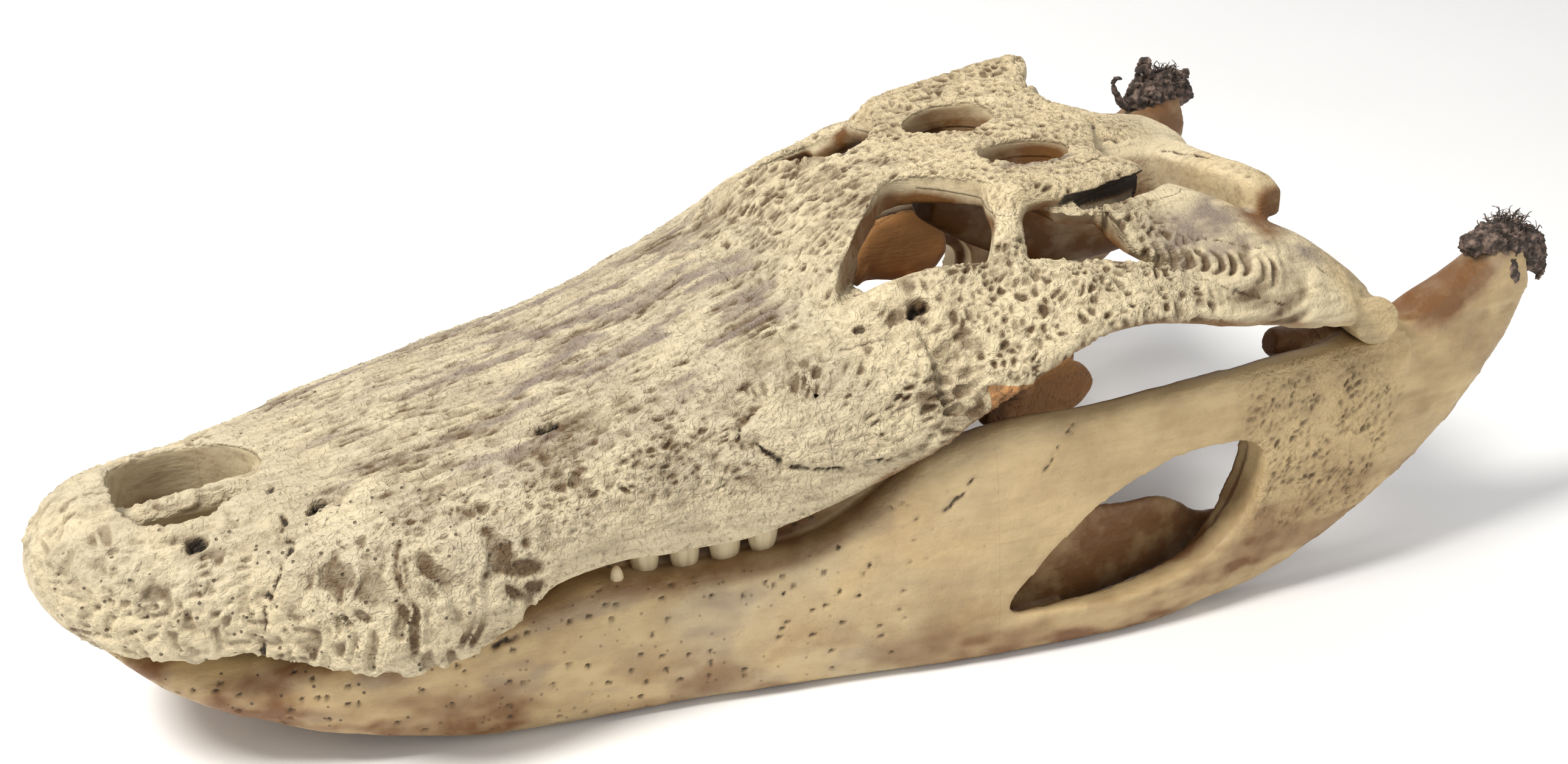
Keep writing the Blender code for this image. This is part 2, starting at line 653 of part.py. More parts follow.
def main():
    for obj in list(bpy.data.objects):
        bpy.data.objects.remove(obj)
    bones = part_skull(build_skull()) + part_jaw(build_jaw())
    bones += [tissue(LEFT, "left"), tissue(RIGHT, "right")]
    for obj, finish in bones:
        names = {id(BONE): "bone", id(JAW_BONE): "jaw bone", id(STAINED): "stained bone", id(TISSUE): "dried tissue"}
        obj.data.materials.clear()
        obj.data.materials.append(material(names[id(finish)], finish))
        obj.data.shade_smooth()
        obj.data.set_sharp_from_angle(angle=math.radians(50))


main()
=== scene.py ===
"""Alligator skull: fine bone surfaces, finishes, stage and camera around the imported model.

Design sizes are in millimetres: x runs back from the tip of the snout, y is across
(left is negative) and z is up from the floor. The skull and the jaw are each put
together from smooth surfaces, fused, worn by a relief of pits, ridges and cracks,
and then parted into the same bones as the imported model.
"""

import json
import math

import bmesh
import bpy
import numpy as np
from mathutils import Matrix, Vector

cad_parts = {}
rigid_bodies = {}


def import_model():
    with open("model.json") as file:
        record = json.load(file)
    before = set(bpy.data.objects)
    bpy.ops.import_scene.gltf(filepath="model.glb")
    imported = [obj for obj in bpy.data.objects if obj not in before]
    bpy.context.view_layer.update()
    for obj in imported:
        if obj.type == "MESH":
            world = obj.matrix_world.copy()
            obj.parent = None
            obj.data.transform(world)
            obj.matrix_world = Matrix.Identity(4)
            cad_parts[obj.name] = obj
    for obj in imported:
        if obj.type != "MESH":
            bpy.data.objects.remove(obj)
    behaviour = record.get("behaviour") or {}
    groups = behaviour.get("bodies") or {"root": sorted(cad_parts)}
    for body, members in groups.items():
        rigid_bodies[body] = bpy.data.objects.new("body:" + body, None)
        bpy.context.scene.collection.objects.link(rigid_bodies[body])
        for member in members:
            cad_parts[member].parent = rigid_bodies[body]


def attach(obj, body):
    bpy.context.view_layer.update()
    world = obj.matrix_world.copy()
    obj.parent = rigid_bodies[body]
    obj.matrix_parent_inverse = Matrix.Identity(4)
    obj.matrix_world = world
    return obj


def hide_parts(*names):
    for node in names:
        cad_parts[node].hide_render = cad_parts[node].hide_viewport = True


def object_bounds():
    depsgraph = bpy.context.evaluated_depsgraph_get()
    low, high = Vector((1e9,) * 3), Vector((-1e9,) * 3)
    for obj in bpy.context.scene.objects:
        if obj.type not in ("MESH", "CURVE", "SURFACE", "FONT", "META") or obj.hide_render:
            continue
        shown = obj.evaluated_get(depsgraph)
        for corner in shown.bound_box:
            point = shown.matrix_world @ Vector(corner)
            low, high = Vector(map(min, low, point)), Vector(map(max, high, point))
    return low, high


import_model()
CAD_LOW, CAD_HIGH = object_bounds()

bl_info = {
    "name": "Alligator skull",
    "version": (1, 0, 0),
    "blender": (4, 5, 0),
    "location": "View3D > Sidebar > Skull",
    "description": "Builds a weathered alligator skull with its lower jaw, a stage and a camera",
    "category": "Object",
}

MM = 0.001
MIDDLE_X = 267.0          # design x that becomes X = 0
LEFT, RIGHT = -1, 1
SIDES = ((LEFT, "left"), (RIGHT, "right"))
BACKWARD, ACROSS, UPWARD = 0, 1, 2
BEYOND = 400              # further than any bone reaches
MOST_ROUNDS = 400         # of spreading a label over one bone
ABOVE = 190               # a height above the whole skull
TINY = 1e-6
FULL_CIRCLE = 6.28        # radians, rounded
SURFACE = "_surface"      # ending of the name of each piece that stands for a node
# Inputs of the bone group that take a colour, in the order that the finishes give them
BONE_TINTS = ("Clean", "Grey", "Dirt", "Stain", "Streak", "Warm")
# Black of seams, cracks and holes, also laid as painted shade in the ear recess and the mouth gap
SEAM_AND_SHADE_BLACK = (0.012, 0.009, 0.007, 1)
PORE_BROWN = (0.05, 0.03, 0.015, 1)

TABLE_TOP = 158.0
TABLE_TILT = 0.085        # the table's back right corner stands higher than its left
MARGIN_ROUND = 6.0        # height of the rounded lower edge of the upper jaw

# Upper jaw: x, half width, height of the tooth line, height of the midline
SNOUT = [
    (0, 5, 67, 72), (2, 13, 63, 77), (5, 20, 59.5, 82), (10, 27, 55.5, 86.5),
    (16, 33, 52.5, 89.5), (28, 42, 50, 91.5),
    (43, 49.5, 48.5, 91.5), (57, 52.5, 48.5, 91.5), (72, 62, 45.5, 92), (88, 72, 43.5, 93),
    (103, 78.5, 42, 95), (116, 80, 42.5, 97), (132, 79, 47.5, 99.5), (150, 77.5, 58.5, 102),
    (172, 77, 61.5, 106), (196, 79, 60.5, 111), (220, 83, 61.5, 117), (244, 88, 67.5, 124),
    (264, 92, 76, 130), (284, 95, 86, 136),
]
SNOUT_POWER = 2.6
# Roof over the eyes: x, half width, height of the midline, height of the rim
ROOF = [
    (236, 57, 118, 108), (252, 57, 127, 120), (264, 55, 133, 131), (272, 51, 138, 140),
    (284, 45, 145, 149), (298, 40, 151, 154.5), (312, 40, 154, 157), (330, 46, 156, 158),
    (348, 50, 158, 158.5),
]
ROOF_THICK = 12.0
# Skull table by y: front edge x, back edge x
TABLE = [
    (-60, 349, 371), (-56, 337, 387), (-49, 329, 391.5), (-40, 322, 389), (-32, 318, 387),
    (-20, 314, 393), (-8, 312, 399.5), (8, 312, 400.5), (20, 314, 397), (32, 318, 397),
    (40, 322, 401), (49, 329, 407), (56, 337, 404), (60, 349, 386),
]
TABLE_THICK = 10.0
# Upper temporal openings: x, y, half length, half width
UPPER_WINDOWS = [(360, -22, 18, 12.5), (353, 20, 18.5, 13)]
# Rim of one orbit seen from above: x, distance from the midline
ORBIT = [
    (267, 53), (270, 48), (277, 42), (285, 35), (296, 25), (305, 17), (316, 20), (326, 31), (333, 45),
    (331, 56), (324, 65), (314, 63), (303, 59), (290, 55.5), (277, 55),
]
# Space inside the cheeks by x: half width below, height there, half width above, height
HOLLOW = [(254, 68, 78, 40, 108), (264, 74, 82, 46, 120), (272, 79, 88, 48, 125), (284, 82, 90, 50, 129),
          (296, 85, 94, 53, 132)]
# Cheek and lower temporal bar: x, then distance out and height of the upper rim and lower rim
CHEEK = [
    (222, 62, 96, 78, 64), (244, 58, 111, 84.5, 70), (262, 56, 124, 89, 77), (271, 56, 130, 92, 81.5),
    (283, 58, 134.5, 95, 88), (298, 61, 137.5, 98, 98), (311, 65, 138, 101, 106),
    (324, 70, 138, 103.5, 114), (338, 76, 137, 105.5, 121.5), (356, 83, 135.5, 108, 123.5),
    (374, 89.5, 133.5, 110, 120.5), (396, 98, 130, 112, 115.5), (422, 106, 123, 113, 109.5),
    (442, 108.5, 116, 113, 105),
]
CHEEK_THICK = 10.0
# Quadrate: back edge x, out, z, then front edge x, out, z, then thickness
QUADRATE = [
    (374, 22, 149, 343, 46, 149, 12), (392, 42, 148, 350, 62, 145.5, 11),
    (410, 60, 143, 361, 75, 140.5, 11), (427, 76, 135, 373, 88, 134, 12),
    (441, 86, 126, 400, 101, 126, 15), (452, 90, 115, 428, 108, 115, 17),
    (459, 92, 106, 446, 110, 106, 17),
]
# Tubes below are x, distance out, z, radius along each
CONDYLE = [(461, 84, 103, 8.5), (457, 100, 102, 8), (453, 114, 105, 9)]
# Room in the jaw for that roller
ROLLER_ROOM = [(463, 78, 103.5, 9.4), (457, 100, 102, 9.2), (452.5, 118, 105, 10)]
# Post behind the orbit, from the table's front corner down to the cheek, and strut under it
EYE_BAR = [(338, 44, 150, 8), (334, 51, 148, 7), (331, 57, 144, 5.4), (327, 64, 139, 6), (324, 69, 134, 8)]
STRUT = [(298, 88, 112, 8), (312, 77, 101, 7), (326, 66, 90, 6.5), (338, 58, 82, 6)]
# Ball at the back of the brain case, stalk below it, and bar along the nostril
BALL = [(430, 0, 122, 8), (440, 0, 120, 9), (446, 0, 119, 5)]
STALK = [(384, 0, 84, 11), (386, 0, 98, 12), (388, 0, 112, 15)]
SEPTUM = [(24, 0, 76, 7), (40, 0, 79, 5.2), (60, 0, 80, 5), (84, 0, 80, 7)]
# Heart-shaped outline of the nostril: x, y
NOSTRIL = [(30, 0), (31, 14), (38, 23), (50, 26), (62, 22), (74, 11), (78, 0),
           (74, -11), (62, -22), (50, -26), (38, -23), (31, -14)]
# Ear opening under the edge of the skull table
EAR = [(357, 62, 149, 2.5), (371, 59, 148.5, 5), (387, 55, 147.5, 6), (402, 48, 146.5, 5), (410, 42, 146, 3)]
# Brain case by x: half width, bottom, top
BRAIN_CASE = [
    (330, 9, 128, 153), (345, 14, 118, 155), (365, 18, 108, 155), (388, 22, 102, 154),
    (408, 27, 104, 153), (425, 29, 110, 151), (438, 22, 116, 149),
]
# Plate at the back of the skull by y: top x, z and bottom x, z, thickness
BACK_PLATE = [
    (-78, 430, 147.5, 430, 137, 10), (-71, 429, 150.5, 430, 134, 12), (-58, 428, 150.5, 429, 130, 13),
    (-40, 425, 149.5, 427, 124, 15), (-20, 423, 149, 425, 118, 18), (0, 420, 149, 424, 116, 20),
    (18, 413, 149.5, 422, 118, 18), (34, 406, 148.5, 422, 123, 15), (54, 408, 144, 424, 129, 13),
    (70, 418, 144, 427, 132, 12), (77, 425, 144, 429, 136, 10),
]
# Palate behind the snout by x: half width, height, half thickness
PALATE = [
    (240, 22, 84, 7), (270, 17, 82, 6), (300, 18, 79, 5.5), (325, 34, 77, 5), (345, 50, 77, 5),
    (360, 54, 77, 5), (372, 44, 79, 5), (384, 24, 84, 7), (394, 16, 92, 8),
]
# Wings of the pterygoids, which aren't a matched pair: x, out, top, bottom
WINGS = {
    LEFT: [(322, 60, 84, 70), (338, 59, 87, 66), (354, 57, 88, 64), (366, 55, 84, 65), (372, 53, 78, 70)],
    RIGHT: [(330, 58, 92, 80), (341, 60, 102, 79), (356, 60, 106, 76), (368, 59, 103, 77), (375, 57, 94, 86)],
}
# Each half of the jaw: x, then out and height of the upper edge and lower edge, thickness
JAW = [
    (62, 36, 42, 36, 19, 20), (80, 46, 41, 45, 13.5, 21), (104, 53, 40, 51, 8, 23),
    (128, 56.5, 42, 56, 2.6, 23), (148, 59.5, 48.5, 60, 0.8, 22), (172, 61, 51.5, 64, 0.1, 22),
    (196, 64, 49, 68.5, 0, 22), (222, 69, 50, 74.5, 0, 22), (246, 75, 54, 80.5, 0, 21),
    (264, 79.5, 65, 85.5, 0, 20), (284, 84.5, 81, 91, 0, 19.5), (312, 90, 88.5, 97.5, 0, 19),
    (342, 94.5, 88.5, 102.5, 0, 19), (372, 98, 90.5, 105, 0.3, 19), (398, 100, 92, 105.5, 5, 19),
]
# Back of the jaw: upper edge x, out, z, lower edge x, out, z, thickness
JAW_BACK = [
    (392, 99.5, 91.5, 386, 105, 1.5, 18), (420, 101, 93, 418, 106.5, 7, 20),
    (446, 101, 93.5, 449, 106, 21, 25), (472, 101.5, 101, 479, 104.5, 37, 26),
    (494, 103, 110, 502, 104, 55, 23), (511, 104, 119, 520, 104, 78, 20),
    (522, 105, 123.5, 530, 105, 99, 16),
]
# Floor of the joint socket and its inner front lip
SOCKET_FLOOR = [(470, 84, 88, 11), (466, 98, 88, 13), (460, 112, 90, 11)]
SOCKET_LIP = [(430, 84, 90, 5), (440, 86, 87, 8), (452, 88, 84, 10), (466, 90, 82, 11)]
# Front of the jaw where both halves meet: x, half width, bottom, top
CHIN = [(13, 6, 47, 53), (17, 20, 44.5, 53), (24, 31, 39, 51.5), (37, 40.5, 27, 49), (52, 46.5, 16.5, 46.5),
        (68, 53, 12, 44), (86, 60, 10, 41.5)]
# Window in the side of the jaw: x, z
JAW_WINDOW = [
    (308, 21), (320, 37), (341, 55), (364, 65.5), (386, 69), (405, 66), (409, 56), (403, 38),
    (385, 23), (356, 17), (328, 17.5),
]
# Inner wall behind that window: x, top, bottom
INNER_WALL = [
    (296, 50, 6), (326, 48, 5), (346, 44, 5), (366, 40, 6), (382, 38.5, 8), (392, 34, 9), (402, 27, 10),
    (416, 25.5, 12), (430, 33, 16),
]
INNER_WALL_OUT = 86.0
# How the whole skull is parted, in this order. Across the middle: name, x, z, slot
FRONT_BONES = [
    ("premaxillae", (-50, 61), (0, BEYOND), "bone"),
    ("maxillae", (-50, 246), (0, BEYOND), "bone"),
]
# On each side: name, outline seen from behind as (out, height), x, slot
SIDE_BONES = [
    ("jugal_", [(59, 108), (200, 108), (200, 147.5), (59, 147.5)], (-50, 366), "bone"),
    ("maxilla_end_", [(76, 40), (200, 40), (200, 108), (76, 108)], (-50, 300), "bone"),
    ("paroccipital_", [(36, 146.5), (46, 146.5), (60, 143.5), (70, 139), (78, 134), (90, 130), (90, 153),
                       (36, 153)], (402, 440), "bone"),
    ("pterygoid_wing_", [(24, 40), (120, 40), (120, 108), (24, 108)], (280, 390), "stained_bone"),
    ("quadrate_", [(36, 80), (200, 80), (200, 147.5), (36, 147.5)], (340, 600), "bone"),
]
MIDDLE_BONES = [
    ("frontal", (-50, 316), (110, BEYOND), "bone"),
    ("skull_table", (-50, 410), (149.5, BEYOND), "bone"),
    ("palate", (-50, 600), (40, 98), "stained_bone"),
]
# Bones of each half of the jaw: name, x, z
JAW_BONES = [
    ("dentary_", (-50, 304), (-50, BEYOND)), ("surangular_", (200, 446), (48, BEYOND)),
    ("angular_", (200, 446), (-50, 60)), ("articular_", (200, 600), (-50, BEYOND)),
]
# Teeth that show between the jaws: x, radius, length below the tooth line
UPPER_TEETH = [(189, 5.2, 17), (202.5, 5.4, 18), (216.5, 5.7, 18), (230, 5.6, 17)]
LOWER_TEETH = [(177, 2.4, 5)]
# Inner bone behind the teeth, painted dark as shade in the mouth gap: x, how far in from the jaw's upper
# edge, height above and below it
INNER_BONE = [
    (132, 9, 14, 6), (160, 9, 18, 8), (196, 9, 20, 8), (230, 9, 20, 8), (264, 8, 18, 8), (290, 8, 12, 6),
]
# Hollow of the joint socket behind the condyle
SOCKET_HOLLOW = [(473, 84, 108, 9), (474, 98, 107, 9), (474, 108, 109, 7)]

# Seams and cracks on the skull: points along each, then half width, depth and darkness
SEAMS = [
    ([(77, -21, 91), (76, -40, 87), (76, -49, 83), (72, -51, 80), (69, -54, 75), (66, -54, 73),
      (65, -56, 66), (62, -55, 60), (62, -55, 55), (60, -52, 48)], 0.6, 1.1, 0.9),
    ([(286, -71, 127), (271, -72, 121), (257, -68, 117), (242, -67, 111), (229, -70, 105), (221, -70, 100)],
     0.5, 0.8, 0.6),
    ([(221, -70, 100), (219, -74, 98), (224, -76, 96), (228, -80, 93), (232, -82, 89), (241, -86, 87),
      (253, -89, 85), (263, -91, 87)], 0.7, 1.2, 1.0),
    ([(363, -91, 137), (377, -99, 133), (392, -108, 127), (407, -112, 121), (422, -115, 114)], 0.5, 0.8, 0.7),
    ([(372, -78, 143), (392, -87, 139), (407, -94, 135), (423, -100, 130), (434, -105, 124)], 0.5, 0.8, 0.7),
    ([(401, -15, 151), (411, -19, 150), (422, -32, 149), (427, -45, 150)], 0.6, 1.1, 0.9),
    ([(412, 8, 152), (404, -3, 153), (404, -18, 151)], 0.6, 1.1, 0.8),
    ([(361, -43, 157), (372, -44, 157), (386, -38, 155)], 0.5, 0.8, 0.8),
    ([(62, 55, 54), (66, 54, 72), (76, 49, 83), (77, 21, 91)], 0.6, 1.0, 0.8),
    ([(286, 71, 127), (257, 68, 117), (229, 70, 105), (219, 74, 98), (231, 82, 89), (263, 91, 87)],
     0.6, 1.0, 0.9),
    ([(363, 91, 137), (392, 108, 127), (422, 115, 114)], 0.5, 0.8, 0.7),
    ([(20, 0, 91), (32, 0, 92)], 0.6, 0.9, 0.7),
    ([(84, 0, 93), (130, -1, 100), (180, 1, 108), (228, 0, 119), (262, 0, 132)], 0.45, 0.6, 0.35),
]
# Front of the jugal seen from the side: x, z along its jagged lower seam, then back along the upper one
JUGAL_FRONT = [
    (224, 102), (221, 100), (219, 98), (224, 96), (228, 93), (232, 89), (241, 87), (253, 85), (263, 87),
    (300, 100), (300, 128), (286, 127), (271, 121), (257, 117), (242, 111),
]
# Larger holes in the outer bone: x, y, z, radius, depth, darkness
HOLES = [
    (50, -35, 86, 2.3, 4.5, 1), (48, -28, 89, 1.4, 2.0, 0.3), (88, -37, 90, 1.9, 4.0, 1),
    (85, -39, 89, 1.3, 3.0, 1), (163, -42, 101, 1.9, 4.0, 1), (166, -42, 102, 1.5, 3.0, 1),
    (286, -71, 127, 2.2, 4.0, 0.9), (289, -72, 128, 1.7, 3.0, 0.8), (52, 33, 87, 2.2, 4.0, 1),
    (90, 38, 90, 1.8, 3.5, 1), (228, -61, 109, 2.0, 1.2, 0.5), (34, -41, 75, 2.8, 0.8, 0.45),
    (170, 44, 102, 1.8, 3.5, 1), (289, 71, 128, 2.2, 3.5, 0.9),
    (268, -66, 122, 1.6, 2.0, 0.7),
]
# Cracks on the jaw, as the seams
JAW_CRACKS = [
    ([(334, -100, 86), (325, -101, 79), (320, -102, 72)], 0.5, 0.8, 0.7),
    ([(296, -97, 73), (287, -96, 65), (275, -93, 60)], 0.6, 1.0, 0.8),
    ([(132, -66, 39), (139, -67.5, 41)], 1.0, 1.6, 0.9),
]

# Camera: place in design millimetres, then the angles it looks along, in degrees
CAMERA_PLACE = (-6.673, -569.661, 389.305)
CAMERA_YAW, CAMERA_PITCH, CAMERA_ROLL = 26.055, -26.463, -1.027
CAMERA_LENS = 43.27       # millimetres, on a sensor of this width
CAMERA_SENSOR = 36
# Soft lights: name, place and aim in metres, width, watts, colour
LIGHTS = [
    ("key", (-0.85, -0.1, 1.25), (0, 0, 0.05), 0.4, 24, (1.0, 0.97, 0.92)),
    ("fill", (0.7, -1.5, 0.7), (0, 0, 0.08), 1.2, 6, (1.0, 0.98, 0.95)),
    ("wall", (0.2, 0.7, 1.8), (0.1, 1.6, 0.5), 1.0, 8, (1, 1, 1)),
]
WORLD_LIGHT = 0.46


class SkullSizes(bpy.types.PropertyGroup):
    """Sizes of the fine surfaces."""

    skull_step: bpy.props.FloatProperty(
        name="Skull mesh step", description="Spacing of the points on the skull's surface",
        default=0.00098, min=0.0006, precision=5, unit="LENGTH")
    jaw_step: bpy.props.FloatProperty(
        name="Jaw mesh step", description="Spacing of the points on the jaw's surface",
        default=0.00105, min=0.0006, precision=5, unit="LENGTH")
    relief: bpy.props.FloatProperty(
        name="Relief", description="Strength of the pits and ridges; 1 is as found", default=1.0, min=0.0,
        max=2.0)
    cut: bpy.props.FloatProperty(
        name="Cut width", description="Width of the hairline between two bones",
        default=0.00004, precision=6, unit="LENGTH")
    fibres: bpy.props.IntProperty(
        name="Fibres", description="Number of dried fibres on each tip of the jaw", default=260, min=20)


def colour_of(name, description, default):
    """A colour that the user can change."""
    return bpy.props.FloatVectorProperty(
        name=name, description=description, default=default, size=3, subtype="COLOR")


class SkullColours(bpy.types.PropertyGroup):
    """Colours of the bone, the dried tissue and the floor."""

    cream: colour_of("Cream bone", "Clean raised bone", (0.66, 0.555, 0.36))
    grey: colour_of("Grey bone", "Weathered bone on top of the snout", (0.52, 0.45, 0.31))
    dirt: colour_of("Dirt", "Colour in the pits and cracks", (0.12, 0.075, 0.038))
    # Brown stain, also laid as painted shade on inner and downward faces, in recesses, in the mouth gap and
    # under the snout
    stain: colour_of("Stain", "Brown inside the skull and the jaw", (0.17, 0.075, 0.022))
    streak: colour_of("Streaks", "Purple-brown streaks and the quadrate's grey", (0.20, 0.155, 0.13))
    jaw: colour_of("Jaw bone", "Smooth yellow bone of the jaw", (0.6, 0.45, 0.235))
    # Orange of grease on the palate, and on the thin pterygoid wings a painted glow of light shining through
    # the bone
    orange_grease_and_glow: colour_of("Orange bone", "Greasy orange bone of the palate", (0.5, 0.24, 0.08))
    fibre: colour_of("Fibre", "Dried curled tissue", (0.04, 0.028, 0.022))
    floor: colour_of("Floor", "Pale floor and backdrop", (0.93, 0.93, 0.93))


def along(rows, at):
    """Smooth values at each station: a cubic through rows of (station, value, ...) with matched slopes."""
    rows = np.asarray(rows, float)
    station, value = rows[:, 0], rows[:, 1:]
    slope = np.gradient(value, station, axis=0)
    at = np.clip(np.asarray(at, float), station[0], station[-1])
    i = np.clip(np.searchsorted(station, at, side="right") - 1, 0, len(station) - 2)
    step = (station[i + 1] - station[i])[:, None]
    u = ((at - station[i])[:, None]) / step
    start = (2 * u**3 - 3 * u**2 + 1) * value[i] + (u**3 - 2 * u**2 + u) * step * slope[i]
    end = (3 * u**2 - 2 * u**3) * value[i + 1] + (u**3 - u**2) * step * slope[i + 1]
    return start + end


def resample(rows, count):
    """Rows re-read at even spacing, with the row number as the station."""
    rows = np.asarray(rows, float)
    numbered = np.column_stack([np.arange(len(rows)), rows])
    return along(numbered, np.linspace(0, len(rows) - 1, count))


def super_round(angle, power):
    """Cosine and sine of a superellipse: power 2 is round, more is squarer."""
    c, s = np.cos(angle), np.sin(angle)
    return np.sign(c) * np.abs(c) ** (2 / power), np.sign(s) * np.abs(s) ** (2 / power)


def full_turn(count):
    """Even angles once round a circle."""
    return np.linspace(0, 2 * math.pi, count, endpoint=False)


def place(points):
    """Design millimetres to metres in the model's frame."""
    moved = np.asarray(points, float).copy()
    moved[..., 0] -= MIDDLE_X
    return moved * MM


def design(points):
    """Metres in the model's frame to design millimetres."""
    moved = np.asarray(points, float) / MM
    moved[..., 0] += MIDDLE_X
    return moved


def surface_volume(points, triangles):
    """Volume inside a closed surface: a sixth of the sum of its triangles' triple products."""
    a, b, c = points[triangles[:, 0]], points[triangles[:, 1]], points[triangles[:, 2]]
    return np.einsum("ij,ij->i", a, np.cross(b, c)).sum() / 6


def new_object(name, points, faces):
    """One mesh object at the origin from whole arrays."""
    mesh = bpy.data.meshes.new(name)
    mesh.from_pydata(points.tolist(), [], faces)
    obj = bpy.data.objects.new(name, mesh)
    bpy.context.scene.collection.objects.link(obj)
    return obj


def grid_faces(count, sides):
    """Faces of a closed surface on a grid of rings: quads between rings, and a fan on each end
    to a middle point; the points are the rings and then the two middles."""
    row = (np.arange(count - 1) * sides)[:, None]
    here, there = np.arange(sides), (np.arange(sides) + 1) % sides
    quads = np.stack([row + here, row + there, row + sides + there, row + sides + here], axis=-1)
    last = (count - 1) * sides
    caps = np.vstack([
        np.column_stack([there, here, np.full(sides, count * sides)]),
        np.column_stack([last + here, last + there, np.full(sides, count * sides + 1)]),
    ])
    return quads.reshape(-1, 4), caps


def grids_object(name, surfaces):
    """One object of closed surfaces, each a grid of rings: ring k joins ring k + 1."""
    points, faces, first = [], [], 0
    for rings in surfaces:
        rings = place(rings)
        grid = np.vstack([rings.reshape(-1, 3), rings[0].mean(axis=0), rings[-1].mean(axis=0)])
        quads, caps = grid_faces(*rings.shape[:2])
        if surface_volume(grid, np.vstack([quads[:, :3], quads[:, [0, 2, 3]], caps])) < 0:
            quads, caps = quads[:, ::-1], caps[:, ::-1]
        points.append(grid)
        faces += (quads + first).tolist() + (caps + first).tolist()
        first += len(grid)
    return new_object(name, np.vstack(points), faces)


def grid_object(name, rings):
    """One closed surface: a grid of rings."""
    return grids_object(name, [rings])


def tube_rings(rows, sides, count):
    """Circle carried along rows of (x, y, z, radius), square to the path."""
    rows = resample(rows, count)
    path, radius = rows[:, :3], rows[:, 3]
    tangent = np.gradient(path, axis=0)
    tangent /= np.linalg.norm(tangent, axis=1)[:, None]
    side = np.cross(tangent, (0.0, 0.02, 1.0))
    side /= np.linalg.norm(side, axis=1)[:, None]
    up = np.cross(side, tangent)
    angle = full_turn(sides)
    ring = np.cos(angle)[None, :, None] * side[:, None] + np.sin(angle)[None, :, None] * up[:, None]
    return path[:, None] + ring * radius[:, None, None]


def tube(name, rows, sides=24, count=24):
    """Closed tube: a circle carried along a path."""
    return grid_object(name, tube_rings(rows, sides, count))


def blade(name, rows, sides=40, count=60, power=2.6):
    """Superellipse carried along rows of (ax, ay, az, bx, by, bz, thickness): it reaches from edge a
    to edge b, with the thickness across."""
    rows = resample(rows, count)
    edge_a, edge_b, thick = rows[:, :3], rows[:, 3:6], rows[:, 6]
    middle = (edge_a + edge_b) / 2
    reach = (edge_b - edge_a) / 2
    tangent = np.gradient(middle, axis=0)
    normal = np.cross(reach, tangent)
    normal /= np.linalg.norm(normal, axis=1)[:, None]
    c, s = super_round(full_turn(sides), power)
    ring = c[None, :, None] * reach[:, None] + s[None, :, None] * normal[:, None] * thick[:, None, None] / 2
    return grid_object(name, middle[:, None] + ring)


def flat_loft(name, rows, sides=48, count=40, power=3.0):
    """Superellipse across the midline, carried along rows of (x, half width, bottom, top)."""
    rows = resample(rows, count)
    c, s = super_round(full_turn(sides), power)
    x, width, low, high = rows.T
    rings = np.stack([
        np.repeat(x[:, None], sides, axis=1),
        width[:, None] * c,
        (low + high)[:, None] / 2 + (high - low)[:, None] / 2 * s,
    ], axis=-1)
    return grid_object(name, rings)


def prism(name, outline, axis, low, high):
    """Cutter: a closed smooth outline carried straight along one axis."""
    points = np.asarray(outline, float)
    closed = np.vstack([points[-2:], points, points[:3]])
    numbered = np.column_stack([np.arange(len(closed)), closed])
    smooth = along(numbered, np.linspace(2, len(points) + 2, 6 * len(points), endpoint=False))
    return grid_object(name, np.array([np.insert(smooth, axis, end, axis=1) for end in (low, high)]))


def straight_prism(name, outline, axis, low, high):
    """Cutter with straight sides, carried along one axis, from an anticlockwise outline."""
    outline = np.asarray(outline, float)
    return grid_object(name, np.array([np.insert(outline, axis, end, axis=1) for end in (low, high)]))


def ellipse(x, y, half_x, half_y, count=16):
    """Ellipse seen from above: cosine along x, sine along y."""
    turn = full_turn(count)
    return np.column_stack([x + half_x * np.cos(turn), y + half_y * np.sin(turn)])


def mirror_rows(rows, out_columns, side):
    """Rows with the distances out from the midline put on one side."""
    rows = np.asarray(rows, float).copy()
    rows[:, out_columns] *= side
    return rows


def side_tube(name, rows, side, sides=24, count=24):
    """Tube with its distances out put on one side."""
    return tube(name, mirror_rows(rows, [1], side), sides, count)


def remove(obj):
    """Deletes an object and its mesh."""
    mesh = obj.data
    bpy.data.objects.remove(obj)
    bpy.data.meshes.remove(mesh)


def apply_modifiers(obj):
    """Replaces the mesh by what its modifiers make of it."""
    graph = bpy.context.evaluated_depsgraph_get()
    mesh = bpy.data.meshes.new_from_object(obj.evaluated_get(graph))
    old = obj.data
    obj.modifiers.clear()
    obj.data = mesh
    bpy.data.meshes.remove(old)


def boolean(obj, others, operation):
    """Joins or cuts by the given closed surfaces, then deletes them."""
    group = bpy.data.collections.new("pieces")
    for other in others:
        group.objects.link(other)
    modifier = obj.modifiers.new("fuse", "BOOLEAN")
    modifier.operation = operation
    modifier.solver = "MANIFOLD"
    modifier.operand_type = "COLLECTION"
    modifier.collection = group
    bpy.context.view_layer.update()
    apply_modifiers(obj)
    for other in list(group.objects):
        remove(other)
    bpy.data.collections.remove(group)
    return obj


def copy_of(obj, name):
    """The same mesh in a new object."""
    twin = bpy.data.objects.new(name, obj.data.copy())
    bpy.context.scene.collection.objects.link(twin)
    return twin


def refine(obj, step, rounds):
    """Even fine mesh over the fused surfaces, with the joins between them softened."""
    remesh = obj.modifiers.new("even", "REMESH")
    remesh.mode = "VOXEL"
    remesh.voxel_size = step
    soften = obj.modifiers.new("soften", "SMOOTH")
    soften.factor = 0.5
    soften.iterations = rounds
    apply_modifiers(obj)
    return obj


